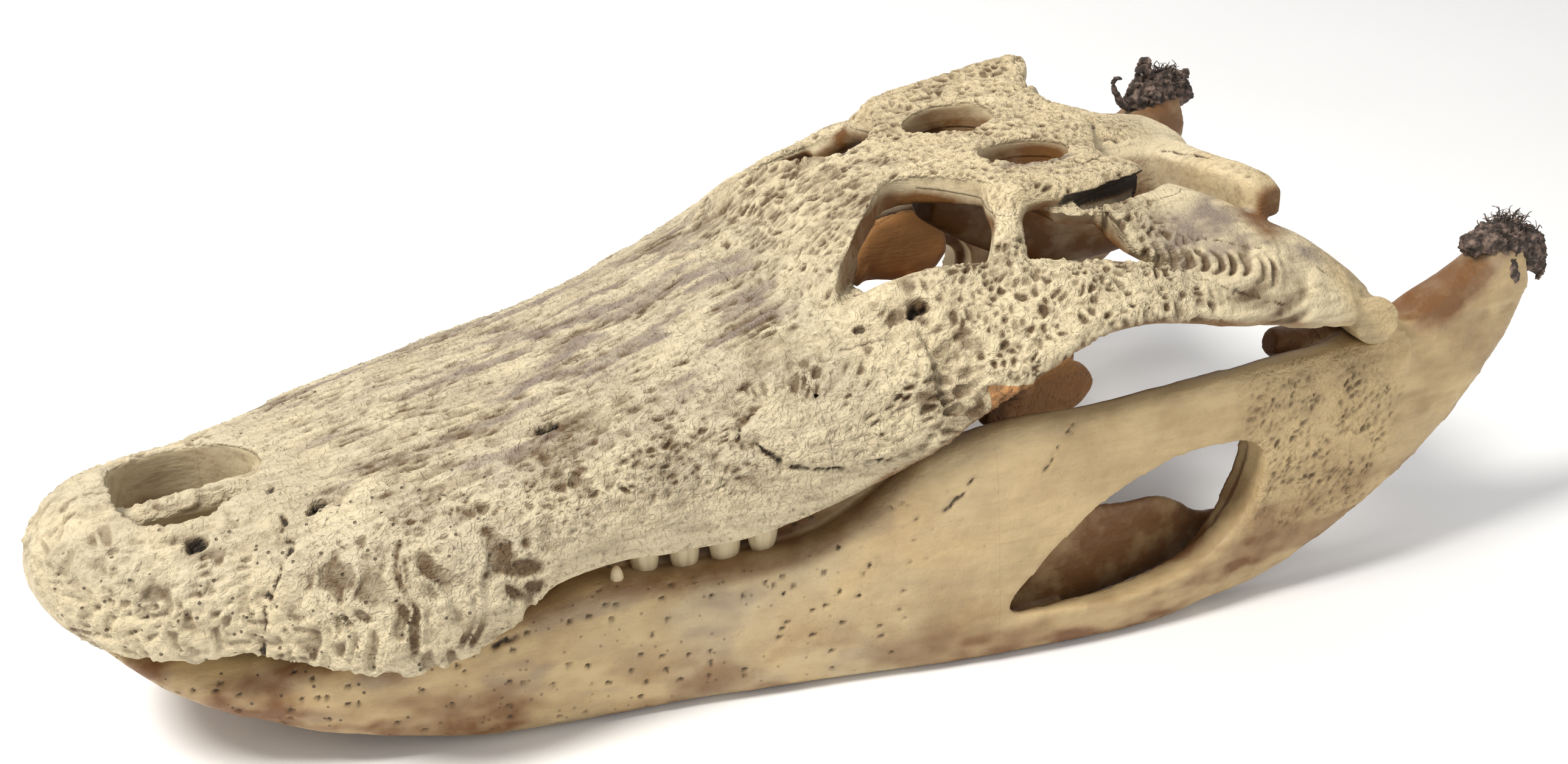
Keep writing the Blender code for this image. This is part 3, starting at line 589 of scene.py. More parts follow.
def snout():
    """Upper jaw: superellipse dome over a rounded tooth line, its sizes read along x."""
    stations = np.concatenate([np.linspace(0, 1, 34) ** 1.6 * 57, np.linspace(57, 284, 110)[1:]])
    width, line, top = along(SNOUT, stations).T
    c, s = super_round(np.linspace(0, math.pi, 90), SNOUT_POWER)
    c_low, s_low = super_round(np.linspace(math.pi, 2 * math.pi, 42)[1:-1], 3.5)
    y = np.concatenate([c, c_low])[None] * width[:, None]
    edge = np.minimum(MARGIN_ROUND, 0.45 * (top - line))
    base = line + edge
    z_up = base[:, None] + (top - base)[:, None] * s
    z_low = base[:, None] + edge[:, None] * s_low
    x = np.repeat(stations[:, None], y.shape[1], axis=1)
    return grid_object("snout", np.stack([x, y, np.concatenate([z_up, z_low], axis=1)], axis=-1))


def roof():
    """Bone between the orbits: a flat superellipse lifted by the square of its cosine, so the middle dips."""
    rows = resample(ROOF, 44)
    c, s = super_round(full_turn(70), 6)
    x, width, middle, rim = rows.T
    lift = middle[:, None] + (rim - middle)[:, None] * c**2
    z = lift - ROOF_THICK / 2 + ROOF_THICK / 2 * s
    x = np.repeat(x[:, None], len(c), axis=1)
    return grid_object("roof", np.stack([x, width[:, None] * c, z], axis=-1))


def table_height(x, y):
    """Top of the skull table: it rises backwards, dips along the middle and is askew."""
    back = np.clip((x - 331) / 60, 0, 1.3)
    return TABLE_TOP - 2.0 + 3.0 * back + TABLE_TILT * y * back + 2.0 * (y / 55) ** 2


def skull_table():
    """Flat superellipse from the front edge to the back edge, carried across, its top on table_height."""
    across = np.linspace(-60, 60, 80)
    front, back = along(TABLE, across).T
    c, s = super_round(full_turn(64), 5)
    x = (front + back)[:, None] / 2 + (back - front)[:, None] / 2 * c
    y = np.repeat(across[:, None], len(c), axis=1)
    edge = np.clip((60.5 - np.abs(across)) / 5, 0.35, 1)[:, None]
    z = table_height(x, y) - TABLE_THICK / 2 + TABLE_THICK / 2 * s * edge
    return grid_object("table", np.stack([x, y, z], axis=-1))


def brain_case():
    """Brain case with its ball and stalk, and the back plate, a squarish superellipse carried across."""
    body = flat_loft("brain", BRAIN_CASE, sides=40, count=30)
    ball = tube("condyle", BALL, count=12)
    rows = [(ax, y, az, bx, y, bz, thick) for y, ax, az, bx, bz, thick in BACK_PLATE]
    plate = blade("plate", rows, sides=48, count=60, power=5)
    return [body, ball, plate, tube("stalk", STALK, count=12)]


def cheek(side):
    """Cheek and lower temporal bar: a superellipse between two rims, carried backwards."""
    rows = [(x, side * a, za, x, side * b, zb, CHEEK_THICK) for x, a, za, b, zb in CHEEK]
    return blade("cheek", rows, sides=48, count=80)


def quadrate(side):
    """A superellipse from the back edge to the front edge, carried outwards, and its roller."""
    rows = mirror_rows(QUADRATE, [1, 4], side)
    return [blade("quadrate", rows, sides=44, count=44), side_tube("roller", CONDYLE, side, 28, 20)]


def palate():
    """Palate, with its two wings and the struts that rise from it to the cheeks."""
    rows = [(x, w, z - t, z + t) for x, w, z, t in PALATE]
    pieces = [flat_loft("palate", rows, sides=44, count=44)]
    for side in (LEFT, RIGHT):
        wing = [(x, side * y, top, x, side * (y - 2), low, 8) for x, y, top, low in WINGS[side]]
        pieces.append(blade("wing", wing, sides=32, count=28))
        pieces.append(side_tube("strut", STRUT, side, count=20))
    return pieces


def hollow_under_roof():
    """Cutter for the space below the roof and inside the cheeks: a six-sided outline carried along x."""
    rings = []
    for x, low_out, low_z, top_out, top_z in HOLLOW:
        half = [(low_out, 40), (low_out, low_z), (top_out, top_z)]
        ring = half + [(-y, z) for y, z in reversed(half)]
        rings.append([(x, y, z) for y, z in ring])
    return grid_object("hollow", rings)


def fused_skull():
    """All of the skull's surfaces as one, opened by the orbits, the windows and the nostril."""
    pieces = [snout(), roof(), skull_table()] + brain_case()
    for side in (LEFT, RIGHT):
        pieces.append(cheek(side))
        pieces += quadrate(side)
    skull = boolean(pieces[0], pieces[1:], "UNION")
    cutters = [hollow_under_roof()]
    cutters += [prism("orbit", mirror_rows(ORBIT, [1], side), UPWARD, 128, ABOVE) for side in (LEFT, RIGHT)]
    cutters += [prism("window", ellipse(*window), UPWARD, 136, ABOVE) for window in UPPER_WINDOWS]
    cutters += [side_tube("ear", EAR, side) for side in (LEFT, RIGHT)]
    cutters.append(prism("nostril", NOSTRIL, UPWARD, 56, 130))
    for cutter in cutters:
        boolean(skull, [cutter], "DIFFERENCE")
    bars = [side_tube("bar", EYE_BAR, side, 28) for side in (LEFT, RIGHT)]
    return boolean(skull, [tube("septum", SEPTUM)] + palate() + bars, "UNION")


def jaw_half(side):
    """Front and back blades of one half, the joint socket and the strip behind the teeth."""
    rows = [(x, side * a, za, x, side * b, zb, thick) for x, a, za, b, zb, thick in JAW]
    front = blade("ramus", rows, sides=56, count=90, power=3.4)
    back = blade("back", mirror_rows(JAW_BACK, [1, 4], side), sides=56, count=50, power=2.8)
    inner = []
    for x, far_in, above, below in INNER_BONE:
        out, top = along(JAW, [x])[0][:2]
        inner.append((x, side * (out - far_in), top + above, x, side * (out - far_in), top - below, 5))
    return [front, back, side_tube("socket", SOCKET_FLOOR, side, 28, 20),
            side_tube("lip", SOCKET_LIP, side, count=20), blade("inner_bone", inner, sides=24, count=60)]


def jaw_cutters(side):
    """Window through the outer wall, wider space behind it, room for the roller, hollow behind that."""
    window = prism("window", JAW_WINDOW, ACROSS, *sorted((side * 80, side * 130)))
    middle = np.mean(JAW_WINDOW, axis=0)
    wide = ((np.asarray(JAW_WINDOW) - middle) * (1.08, 1.3) + middle)[::2]
    hollow = prism("hollow", wide, ACROSS, *sorted((side * 70, side * 101)))
    return [window, hollow, side_tube("roller", ROLLER_ROOM, side, 28, 20),
            side_tube("socket_hollow", SOCKET_HOLLOW, side, 28, 20)]


def inner_wall(side):
    """Wall seen through the jaw's window: a thin superellipse carried backwards."""
    upper, lower = side * INNER_WALL_OUT, side * (INNER_WALL_OUT + 3)
    rows = [(x, upper, top, x, lower, low, 5) for x, top, low in INNER_WALL]
    return blade("inner", rows, sides=30, count=50)


def fused_jaw():
    """Both halves of the jaw as one, opened by the side windows and the joint sockets."""
    pieces = [flat_loft("chin", CHIN, sides=64, count=40, power=2.4)]
    for side in (LEFT, RIGHT):
        pieces += jaw_half(side)
    jaw = boolean(pieces[0], pieces[1:], "UNION")
    for cutter in jaw_cutters(LEFT) + jaw_cutters(RIGHT):
        boolean(jaw, [cutter], "DIFFERENCE")
    boolean(jaw, [snout()], "DIFFERENCE")
    return boolean(jaw, [inner_wall(LEFT), inner_wall(RIGHT)], "UNION")


def ramp(value, low, high):
    """Smooth step: 0 at low, 1 at high, three times the square less twice the cube between."""
    t = np.clip((value - low) / (high - low), 0, 1)
    return t * t * (3 - 2 * t)


def random_of(corner, seed):
    """Even random number from 0 to 1 for each whole-number corner, by mixing its bits."""
    n = corner.astype(np.uint32)
    mix = n[:, 0] * np.uint32(374761393) + n[:, 1] * np.uint32(668265263) + n[:, 2] * np.uint32(1274126177)
    mix = mix + np.uint32((seed * 2654435761) % 4294967296)
    mix = (mix ^ (mix >> np.uint32(13))) * np.uint32(1103515245)
    mix = (mix ^ (mix >> np.uint32(15))) * np.uint32(2246822519)
    return ((mix ^ (mix >> np.uint32(14))) & np.uint32(0xFFFFFF)).astype(np.float32) / np.float32(0x1000000)


def clouds(points, seed):
    """Value noise: random numbers at whole corners, mixed by fading weights in each cell."""
    low = np.floor(points)
    part = points - low
    part = part**3 * (part * (part * 6 - 15) + 10)
    corner = low.astype(np.int64)
    total = np.zeros(len(points))
    for shift in np.ndindex(2, 2, 2):
        weight = np.prod(np.where(shift, part, 1 - part), axis=1)
        total += weight * random_of(corner + shift, seed)
    return total


def billows(points, seed, octaves=3):
    """Sum of value noise, each octave twice as fine and half as strong, kept from 0 to 1."""
    total, strength = np.zeros(len(points)), 0.0
    for k in range(octaves):
        total += clouds(points * 2.03**k, seed + 11 * k) * 0.5**k
        strength += 0.5**k
    return total / strength


def ridges(points, seed, octaves=2):
    """Crest lines: one less the distance of the noise from its middle value."""
    total, strength = np.zeros(len(points)), 0.0
    for k in range(octaves):
        crest = 1 - np.abs(2 * clouds(points * 2.1**k, seed + 17 * k) - 1) * 1.7
        total += np.clip(crest, 0, 1) * 0.5**k
        strength += 0.5**k
    return total / strength


def spots(points, normals, seed):
    """Scattered spots, one in each unit cell: distance along the surface to the nearest and
    the second nearest, and the nearest one's own random number. A spot more than half a cell
    off the surface counts as further away."""
    points = points.astype(np.float32)
    normals = normals.astype(np.float32)
    base = np.floor(points).astype(np.int32)
    first = np.full(len(points), 9, np.float32)
    second = first.copy()
    owner = np.zeros(len(points), np.float32)
    for shift in np.ndindex(3, 3, 3):
        corner = base + (np.array(shift, np.int32) - 1)
        spot = corner + np.stack([random_of(corner, seed + k) for k in range(3)], axis=1)
        away = points - spot
        depth = np.abs((away * normals).sum(axis=1))
        flat = np.maximum((away**2).sum(axis=1) - depth**2, 0)
        far = np.sqrt(flat + 9 * np.maximum(depth - 0.5, 0) ** 2)
        closer = far < first
        second = np.where(closer, first, np.minimum(second, far))
        owner = np.where(closer, random_of(corner, seed + 7), owner)
        first = np.where(closer, far, first)
    return first, second, owner


def stretched(points, normals, size):
    """Points and normals in cells of the given size along x, y and z."""
    size = np.asarray(size, float)
    turned = normals * size
    return points / size, turned / np.linalg.norm(turned, axis=1)[:, None]


def pitted(points, normals, size, seed, rim=0.85):
    """Pits parted by a net of ridges: 0 on the ridges, where the nearest spot is no nearer than
    the second, down to -1 on the floor of a pit."""
    first, second, owner = spots(*stretched(points, normals, size), seed)
    return -ramp(second - first, 0.0, rim) * (0.55 + 0.75 * owner)


def dotted(points, normals, size, radius, share, seed):
    """Small holes: a share of the cells has one, of the given radius in cells."""
    first, _, owner = spots(*stretched(points, normals, size), seed)
    return np.where(owner < share, ramp(first, radius, radius * 0.45), 0)


def warped(points, size, amount, seed):
    """Points pushed about by noise, so that what is drawn on them wanders."""
    push = np.column_stack([clouds(points / size, seed + k) for k in range(3)]) - 0.5
    return points + push * 2 * amount


def add_where(height, weight, make):
    """Adds weight times the made relief, worked out only where the weight counts."""
    near = weight > 0.01
    if near.any():
        height[near] += weight[near] * make(near)


def line_distance(points, line):
    """Least distance from each point to a line of straight stretches."""
    line = np.asarray(line, float)
    best = np.full(len(points), 1e3)
    for a, b in zip(line, line[1:]):
        t = np.clip(((points - a) @ (b - a)) / ((b - a) @ (b - a)), 0, 1)
        best = np.minimum(best, np.linalg.norm(points - a - t[:, None] * (b - a), axis=1))
    return best


def carve(p, height, mark, seams, holes):
    """Seams, cracks and holes: a groove or pit that fades out with distance."""
    shaky = p + (np.column_stack([clouds(p / 2.6, 900 + k) for k in range(3)]) - 0.5) * 2.6
    for line, half, depth, dark in seams:
        low, high = np.min(line, axis=0) - 4, np.max(line, axis=0) + 4
        near = np.all((p > low) & (p < high), axis=1)
        far = line_distance(shaky[near], line)
        cut = ramp(far, half * 1.9, half * 0.4)
        height[near] -= depth * cut
        mark[near] = np.maximum(mark[near], dark * cut)
    for x, y, z, radius, depth, dark in holes:
        far = np.linalg.norm((shaky - (x, y, z)) * (0.8, 1, 1), axis=1)
        height -= depth * ramp(far, radius * 1.35, radius * 0.6)
        mark[:] = np.maximum(mark, dark * ramp(far, radius * 1.45, radius * 0.75))


def facing_out(p, n):
    """How far each point's normal leans away from the middle of the skull."""
    y, z = p[:, 1], p[:, 2] - 50
    return (n[:, 1] * y + n[:, 2] * z) / np.hypot(y, z)


def inside_outline(x, z, outline):
    """True where a point is inside the closed outline: an odd number of its sides lie to one side."""
    odd = np.zeros(len(x), bool)
    for (x1, z1), (x2, z2) in zip(outline, outline[1:] + outline[:1]):
        if z1 != z2:
            odd ^= ((z1 > z) != (z2 > z)) & (x < x1 + (z - z1) * (x2 - x1) / (z2 - z1))
    return odd


def raised_edge(x, out, z):
    """Front of the jugal, standing a little above the maxilla along their jagged seam."""
    step = np.zeros(len(x))
    near = (x > 205) & (x < 300) & (out > 55) & (z > 75) & (z < 135)
    seen = np.column_stack([x, np.zeros(len(x)), z])[near]
    far = line_distance(seen, [(a, 0, b) for a, b in JUGAL_FRONT[:9]])
    inner = inside_outline(x[near], z[near], JUGAL_FRONT)
    step[near] = ramp(np.where(inner, far, -far), -0.5, 1.0) * ramp(far, 22, 6)
    return step


def skull_relief(p, n):
    """Height of the relief over the skull, how dark each seam or hole is, the black painted shade
    in the ear recess, and the lift that brings the pitted bone's mean height back to the plain surface."""
    x, y, z = p.T
    out = np.abs(y)
    height = np.zeros(len(p))
    mark = np.zeros(len(p))
    outer = ramp(facing_out(p, n), 0.1, 0.5)
    up = ramp(n[:, 2], 0.35, 0.8)
    crown = ramp(out, 62, 44) * up

    nose = outer * ramp(x, 84, 62)
    add_where(height, nose, lambda m: 1.5 * (ridges(warped(p[m], 9, 4, 5) / (4.6, 3.8, 2.7), 21, 1) - 0.42)
              + 0.45 * pitted(warped(p[m], 6, 2.2, 15), n[m], (4.0, 4.0, 3.0), 31))

    flank = outer * ramp(x, 62, 84) * ramp(x, 250, 205) * (1 - 0.8 * crown)
    low_side = flank * ramp(z, 92, 76) * ramp(x, 165, 135)
    add_where(height, low_side, lambda m:
              1.9 * (ridges(warped(p[m], 10, 5, 6) / (3.9, 10, 11), 22, 1) - 0.55))
    add_where(height, flank * (1 - 0.7 * ramp(z, 88, 74)), lambda m:
              1.5 * pitted(warped(p[m], 8, 3.0, 7), n[m], (5.2, 3.2, 3.2), 32)
              + 1.0 * (ridges(warped(p[m], 9, 3, 13) / (8, 3.4, 3.4), 23, 2) - 0.5))
    smooth_lip = flank * ramp(x, 138, 165) * ramp(z, 84, 72)
    height *= 1 - 0.7 * smooth_lip

    back = outer * ramp(x, 78, 108) * ramp(x, 268, 240) * crown
    add_where(height, back, lambda m:
              1.2 * (ridges(warped(p[m], (34, 12, 12), 3.4, 8) / (22, 2.6, 5), 24, 2) - 0.5)
              + 1.0 * pitted(warped(p[m], 9, 2.0, 16), n[m], (9, 3.0, 4), 33))

    fan_x, fan_z = x - 222, z - 84
    reach, turn = np.hypot(fan_x, fan_z * 1.15), np.arctan2(fan_z * 1.15, fan_x)
    fan = np.column_stack([reach / 9.5, turn * 15, np.full(len(p), 0.5)])
    flat = np.tile((0.0, 0.0, 1.0), (len(p), 1))
    jugal = outer * ramp(x, 212, 236) * ramp(x, 396, 376) * ramp(out, 56, 66) * ramp(z, 80, 90)
    near_fan, far_fan = jugal * ramp(x, 306, 286), jugal * ramp(x, 286, 306)
    lobe = 0.45 + 0.55 * ramp(reach, 26, 44)
    add_where(height, near_fan * lobe, lambda m: 2.0 * pitted(warped(fan[m], 1.3, 0.34, 9), flat[m], 0.85, 34)
              + 1.0 * (ridges(warped(fan[m], 1.3, 0.3, 19) * (0.6, 1.1, 1), 25, 2) - 0.5))
    add_where(height, far_fan, lambda m: 2.1 * pitted(warped(p[m], 9, 3.2, 14), n[m], (4.0, 4.0, 6.2), 38)
              + 1.0 * (ridges(warped(p[m], 9, 3, 20) / (4, 4, 8), 29, 2) - 0.5))

    frontal = up * ramp(x, 238, 262) * ramp(x, 336, 318) * ramp(out, 60, 50) * ramp(z, 108, 118)
    add_where(height, frontal, lambda m: 1.7 * pitted(warped(p[m], 8, 2.6, 10), n[m], (6.0, 3.1, 6), 35)
              + 0.9 * (ridges(p[m] / (12, 3.4, 6), 26, 2) - 0.5))
    table = up * ramp(x, 312, 326) * ramp(z, 149, 152)
    add_where(height, table, lambda m: 1.6 * pitted(warped(p[m], 7, 2.6, 11), n[m], (4.2, 3.8, 6), 36)
              + 0.8 * (billows(p[m] / 3.4, 27, 2) - 0.5))

    swirl = np.column_stack([reach / 30, np.hypot(x - 392, (z - 150) * 1.3) / 4.6, np.full(len(p), 0.5)])
    corner = ramp(x, 366, 380) * ramp(x, 440, 424) * ramp(out, 84, 94)
    corner = corner * ramp(n[:, 1] * y / (out + TINY), 0.1, 0.5)
    add_where(height, corner, lambda m: 1.8 * (ridges(warped(swirl[m], 1.6, 0.35, 12), 28, 1) - 0.5))

    start, end = (np.array((a, b, c), float) for a, b, c in ((368, 86, 135), (418, 106, 127)))
    ahead = (end - start) / np.linalg.norm(end - start)
    from_start = np.column_stack([x, out, z]) - start
    t = from_start @ ahead
    aside = np.linalg.norm(from_start - t[:, None] * ahead, axis=1)
    row = outer * ramp(aside, 8, 4) * ramp(t, -2, 4) * ramp(t, 54, 46)
    bend = t / 5.2 + (aside / 9) ** 2 + 0.5 * clouds(p / 7, 17)
    height -= 2.0 * row * (0.5 - 0.5 * np.cos(2 * math.pi * bend)) ** 1.5
    height += 0.25 * (billows(p / 5.0, 40, 2) - 0.5)
    height += 1.3 * (billows(p / 24.0, 50, 2) - 0.5) * outer
    height += 1.3 * raised_edge(x, out, z) * outer
    carve(p, height, mark, SEAMS, HOLES)
    # Black painted shade in the ear recess under the table's edge, on faces that don't look up
    ear = line_distance(np.column_stack([x, out, z]), np.array(EAR)[:, :3])
    mark = np.maximum(mark, ramp(ear, 8.5, 6.0) * ramp(n[:, 2], 0.75, 0.2))
    lifts = [0.25 * nose, 0.5 * flank, 0.4 * back, 0.7 * jugal, 0.6 * frontal, 0.55 * table, 0.8 * row]
    return height, mark, np.max(lifts, axis=0)


def jaw_relief(p, n):
    """Height of the relief over the jaw, how dark each small hole is, and the lift."""
    x, y, z = p.T
    out = np.abs(y)
    height = 0.7 * (billows(p / (20, 8, 8), 60, 3) - 0.5) + 0.25 * (billows(p / 3.2, 61, 2) - 0.5)
    mark = np.zeros(len(p))
    face = n[:, 1] * y / (out + TINY)
    outer = np.maximum(ramp(face, 0.2, 0.6), ramp(n[:, 0], -0.2, -0.6) * ramp(x, 60, 40))
    holes = outer * ramp(x, 300, 250) * ramp(z, 3, 8)
    near = holes > 0.01
    apart = (9, 6.5, 6.5)
    height[near] -= 1.1 * holes[near] * dotted(p[near], n[near], apart, 0.16, 0.5, 62)
    mark[near] = 0.8 * holes[near] * dotted(p[near], n[near], apart, 0.13, 0.5, 62)
    rear = outer * ramp(x, 392, 412) * ramp(x, 474, 456) * ramp(z, 22, 34) * ramp(z, 92, 84)
    slant = np.column_stack([x + z, y, z - x])
    rear = rear * ramp(billows(p / 14, 69, 2), 0.25, 0.5)
    add_where(height, rear, lambda m: 1.4 * pitted(warped(slant[m], 9, 3.0, 64), n[m], (5.4, 4, 3.2), 65)
              + 0.7 * (ridges(warped(slant[m], 8, 3, 67) / (9, 5, 3.4), 68) - 0.5))
    add_where(height, outer * ramp(x, 300, 420) * (1 - rear), lambda m:
              0.6 * (ridges(p[m] / (14, 4, 4), 66) - 0.5))
    carve(p, height, mark, JAW_CRACKS, [])
    return height, mark, 0.5 * rear


def read_points(mesh):
    """Places and normals of a mesh's points, as whole arrays."""
    points = np.empty(len(mesh.vertices) * 3, np.float32)
    normals = np.empty(len(mesh.vertices) * 3, np.float32)
    mesh.vertices.foreach_get("co", points)
    mesh.vertex_normals.foreach_get("vector", normals)
    return points.reshape(-1, 3).astype(float), normals.reshape(-1, 3).astype(float)


def write_points(mesh, points):
    """Puts new places on a mesh's points."""
    mesh.vertices.foreach_set("co", points.astype(np.float32).ravel())
    mesh.update()


def wear(obj, relief, strength):
    """Moves each point along its normal by the relief, and returns the masks for the finish."""
    points, normals = read_points(obj.data)
    p = design(points)
    height, mark, lift = relief(p, normals)
    write_points(obj.data, points + normals * ((height + lift) * strength * MM)[:, None])
    hollow = np.clip((0.1 - height) / 1.5, 0, 1)
    return np.clip(np.maximum(hollow, mark), 0, 1), mark, p, normals


def skull_masks(p, n, hollow, mark):
    """Where the skull is stained brown and darkened by painted shade, greyed, streaked, warm yellow, wrinkled
    or full of pores.
    """
    x, y, z = p.T
    out = np.abs(y)
    outward = facing_out(p, n)
    up = ramp(n[:, 2], 0.35, 0.75)
    # Painted shade, laid in the brown of the stain: inner faces, the nostril's walls (darker low down, with
    # the septum's top spared), downward faces, the cavities below the table, the deep parts behind the orbits
    # and the walls of the upper windows
    inside = ramp(outward, 0.05, -0.45) * ramp(x, 84, 100)
    nostril_shade = ramp(outward, 0.1, -0.4) * ramp(x, 92, 84) * (0.25 + 0.5 * ramp(z, 78, 66))
    nostril_shade *= 1 - 0.8 * ramp(out, 9, 6) * ramp(z, 72, 78)
    under_shade = ramp(n[:, 2], 0.1, -0.5) * ramp(x, 240, 262)
    cavity_shade = np.maximum(ramp(z, 151, 146) * (1 - up), ramp(z, 128, 118)) * ramp(out, 64, 56)
    cavity_shade *= ramp(x, 262, 280) * ramp(x, 424, 404)
    deep_shade = ramp(z, 112, 96) * ramp(out, 90, 76) * ramp(x, 262, 282)
    window = ramp(np.hypot((x - 357) / 30, out / 45), 1.2, 1.0) * ramp(z, 157, 152) * (1 - 0.9 * up)
    stain = np.max([inside, nostril_shade, 0.8 * under_shade, cavity_shade, deep_shade, window], axis=0)
    # The thin pterygoid wings, which stand in the light, get less of this painted shade
    stain *= 1 - 0.7 * ramp(z, 114, 108) * ramp(x, 326, 334) * ramp(out, 40, 48)
    rim = ramp(z, 62, 50) * ramp(x, 100, 160)
    stain = np.maximum(stain, 0.45 * rim * ramp(billows(p / 6, 70), 0.3, 0.7))
    broken_end = ramp(out, 74, 78) * ramp(x, 412, 420) * ramp(z, 133, 137)
    stain = np.maximum(stain, 0.9 * broken_end)
    streaks = billows(warped(p, 30, 5, 71) / (40, 5.0, 9), 72, 3)
    top = ramp(n[:, 2], 0.3, 0.8) * ramp(x, 80, 110) * ramp(x, 275, 245) * ramp(out, 62, 48)
    streak = top * ramp(streaks, 0.5, 0.66)
    grey_top = ramp(x, 366, 384) * ramp(out, 108, 96) * ramp(out, 40, 52) * ramp(n[:, 2], 0.25, 0.6)
    grey_top *= ramp(z, 147, 143) * ramp(x, 444, 430)
    worn = ramp(np.hypot((x - 357) / 17, (y + 34.5) / 3.6), 1.15, 0.7) * ramp(z, 150, 153)
    streak = np.max([streak, 1.2 * grey_top * ramp(billows(p / (16, 7, 7), 73), 0.3, 0.6), worn], axis=0)
    grey = ramp(x, 290, 240) * (0.35 + 0.65 * ramp(n[:, 2], 0.1, 0.7)) + 0.1
    warm = np.maximum(ramp(x, 430, 442) * ramp(out, 84, 96), 0.35 * ramp(x, 300, 330) * ramp(z, 149, 152))
    warm = np.maximum(warm, 0.6 * ramp(x, 408, 416) * ramp(out, 34, 44) * ramp(z, 134, 140))
    outer = ramp(outward, 0.1, 0.5)
    smooth = ramp(x, 372, 384) * (1 - ramp(z, 150, 152))
    coarse = 0.65 * outer * (1 - smooth * 0.6) * (1 - 0.5 * ramp(x, 84, 62))
    pores = outer * ramp(x, 190, 120) * ramp(out + (90 - z), 18, 34)
    return dict(hollow=hollow, mark=mark, stain=np.clip(stain, 0, 1), streak=streak,
                grey=np.clip(grey, 0, 1), warm=np.clip(warm, 0, 1), coarse=coarse, pores=pores)


def jaw_masks(p, n, hollow, mark):
    """The same masks for the jaw: brown stain and painted shade on its inner side and inside the window,
    brown at the back, and painted shade in the socket hollow, in the mouth gap, at the front and along the
    bottom.
    """
    x, y, z = p.T
    out = np.abs(y)
    face = n[:, 1] * y / (out + TINY)
    # Brown stain and painted shade on the inner faces, and on the inner wall seen through the window
    inside = ramp(face, 0.0, -0.4) * ramp(x, 60, 100)
    wall = ramp(out, 95, 91) * ramp(x, 292, 306) * ramp(x, 440, 425) * ramp(z, 62, 52)
    socket_lip = ramp(out, 98, 92) * ramp(x, 420, 430) * ramp(z, 98, 94)
    back = ramp(x, 300, 440) * ramp(z, 60, 15) * 0.6
    facing = 0.7 * n[:, 2] - 0.5 * n[:, 0]
    back += ramp(x, 462, 482) * (0.15 + 0.8 * ramp(facing, 0.1, 0.5))
    upper_edge = along(JAW, x)
    # Painted shade on the inner bone behind the teeth, in the mouth gap
    mouth_shade = ramp(upper_edge[:, 0] - out, 4, 7) * ramp(z, 44, 48) * ramp(x, 128, 140) * ramp(x, 312, 300)
    # Painted shade in the socket hollow behind the condyle
    socket_shade = ramp(line_distance(np.column_stack([x, out, z]), np.array(SOCKET_HOLLOW)[:, :3]), 11.5, 9.5)
    # Painted shade: darker at the front under the snout's overhang, and along the bottom
    front = ramp(x, 170, 70) * 0.55 + ramp(z, 34, 4) * 0.4
    # Painted shade on the jaw's top along the teeth, under the upper jaw
    teeth_shade = ramp(n[:, 2], 0.2, 0.7) * ramp(x, 120, 150) * ramp(x, 290, 262) * 0.7
    patchy = 0.35 + 1.1 * ramp(billows(p / (26, 11, 11), 80, 3), 0.3, 0.68)
    # Patchy brown stain, holding the painted shade of the front and bottom and the darkening low at the back
    worn = (back + front + 0.16) * patchy
    stain = np.max([inside, wall, socket_lip, worn, teeth_shade, socket_shade, mouth_shade], axis=0)
    # Black painted shade on that inner bone, in the mouth gap
    mark = np.maximum(mark, 0.6 * mouth_shade)
    streak = 0.6 * ramp(billows(p / (34, 12, 12), 81, 3), 0.52, 0.68) * ramp(x, 350, 200)
    grey = 0.5 * ramp(billows(p / (30, 16, 16), 82, 2), 0.38, 0.62) * ramp(x, 330, 220) * ramp(x, 120, 200)
    warm = ramp(x, 425, 440) * ramp(x, 478, 464) * ramp(z, 60, 85)
    warm = np.maximum(warm, ramp(x, 470, 484) * ramp(facing, 0.1, -0.2) * 0.7)
    streak = np.maximum(streak, 0.7 * ramp(x, 468, 486) * ramp(facing, 0.1, 0.5))
    rear = ramp(x, 392, 412) * ramp(x, 474, 456) * ramp(z, 22, 34)
    coarse = 0.1 + 0.4 * rear * ramp(face, 0.2, 0.6)
    pores = ramp(face, 0.0, 0.4) * np.maximum(ramp(x, 150, 90), 0.5 * ramp(x, 300, 200))
    pores = np.maximum(pores, ramp(n[:, 0], -0.1, -0.5) * ramp(x, 80, 60))
    return dict(hollow=hollow, mark=mark, stain=np.clip(stain, 0, 1), streak=streak, grey=grey,
                warm=np.clip(warm, 0, 1), coarse=coarse, pores=pores)


def place_keys(points):
    """One whole number for each place, to the nearest micron."""
    whole = np.round(points / 1e-6).astype(np.int64) + 2**20
    return (whole[:, 0] << 42) + (whole[:, 1] << 21) + whole[:, 2]


def edge_ends(mesh):
    """The first and the second point of every edge."""
    ends = np.empty(len(mesh.edges) * 2, np.int32)
    mesh.edges.foreach_get("vertices", ends)
    return ends.reshape(-1, 2).T


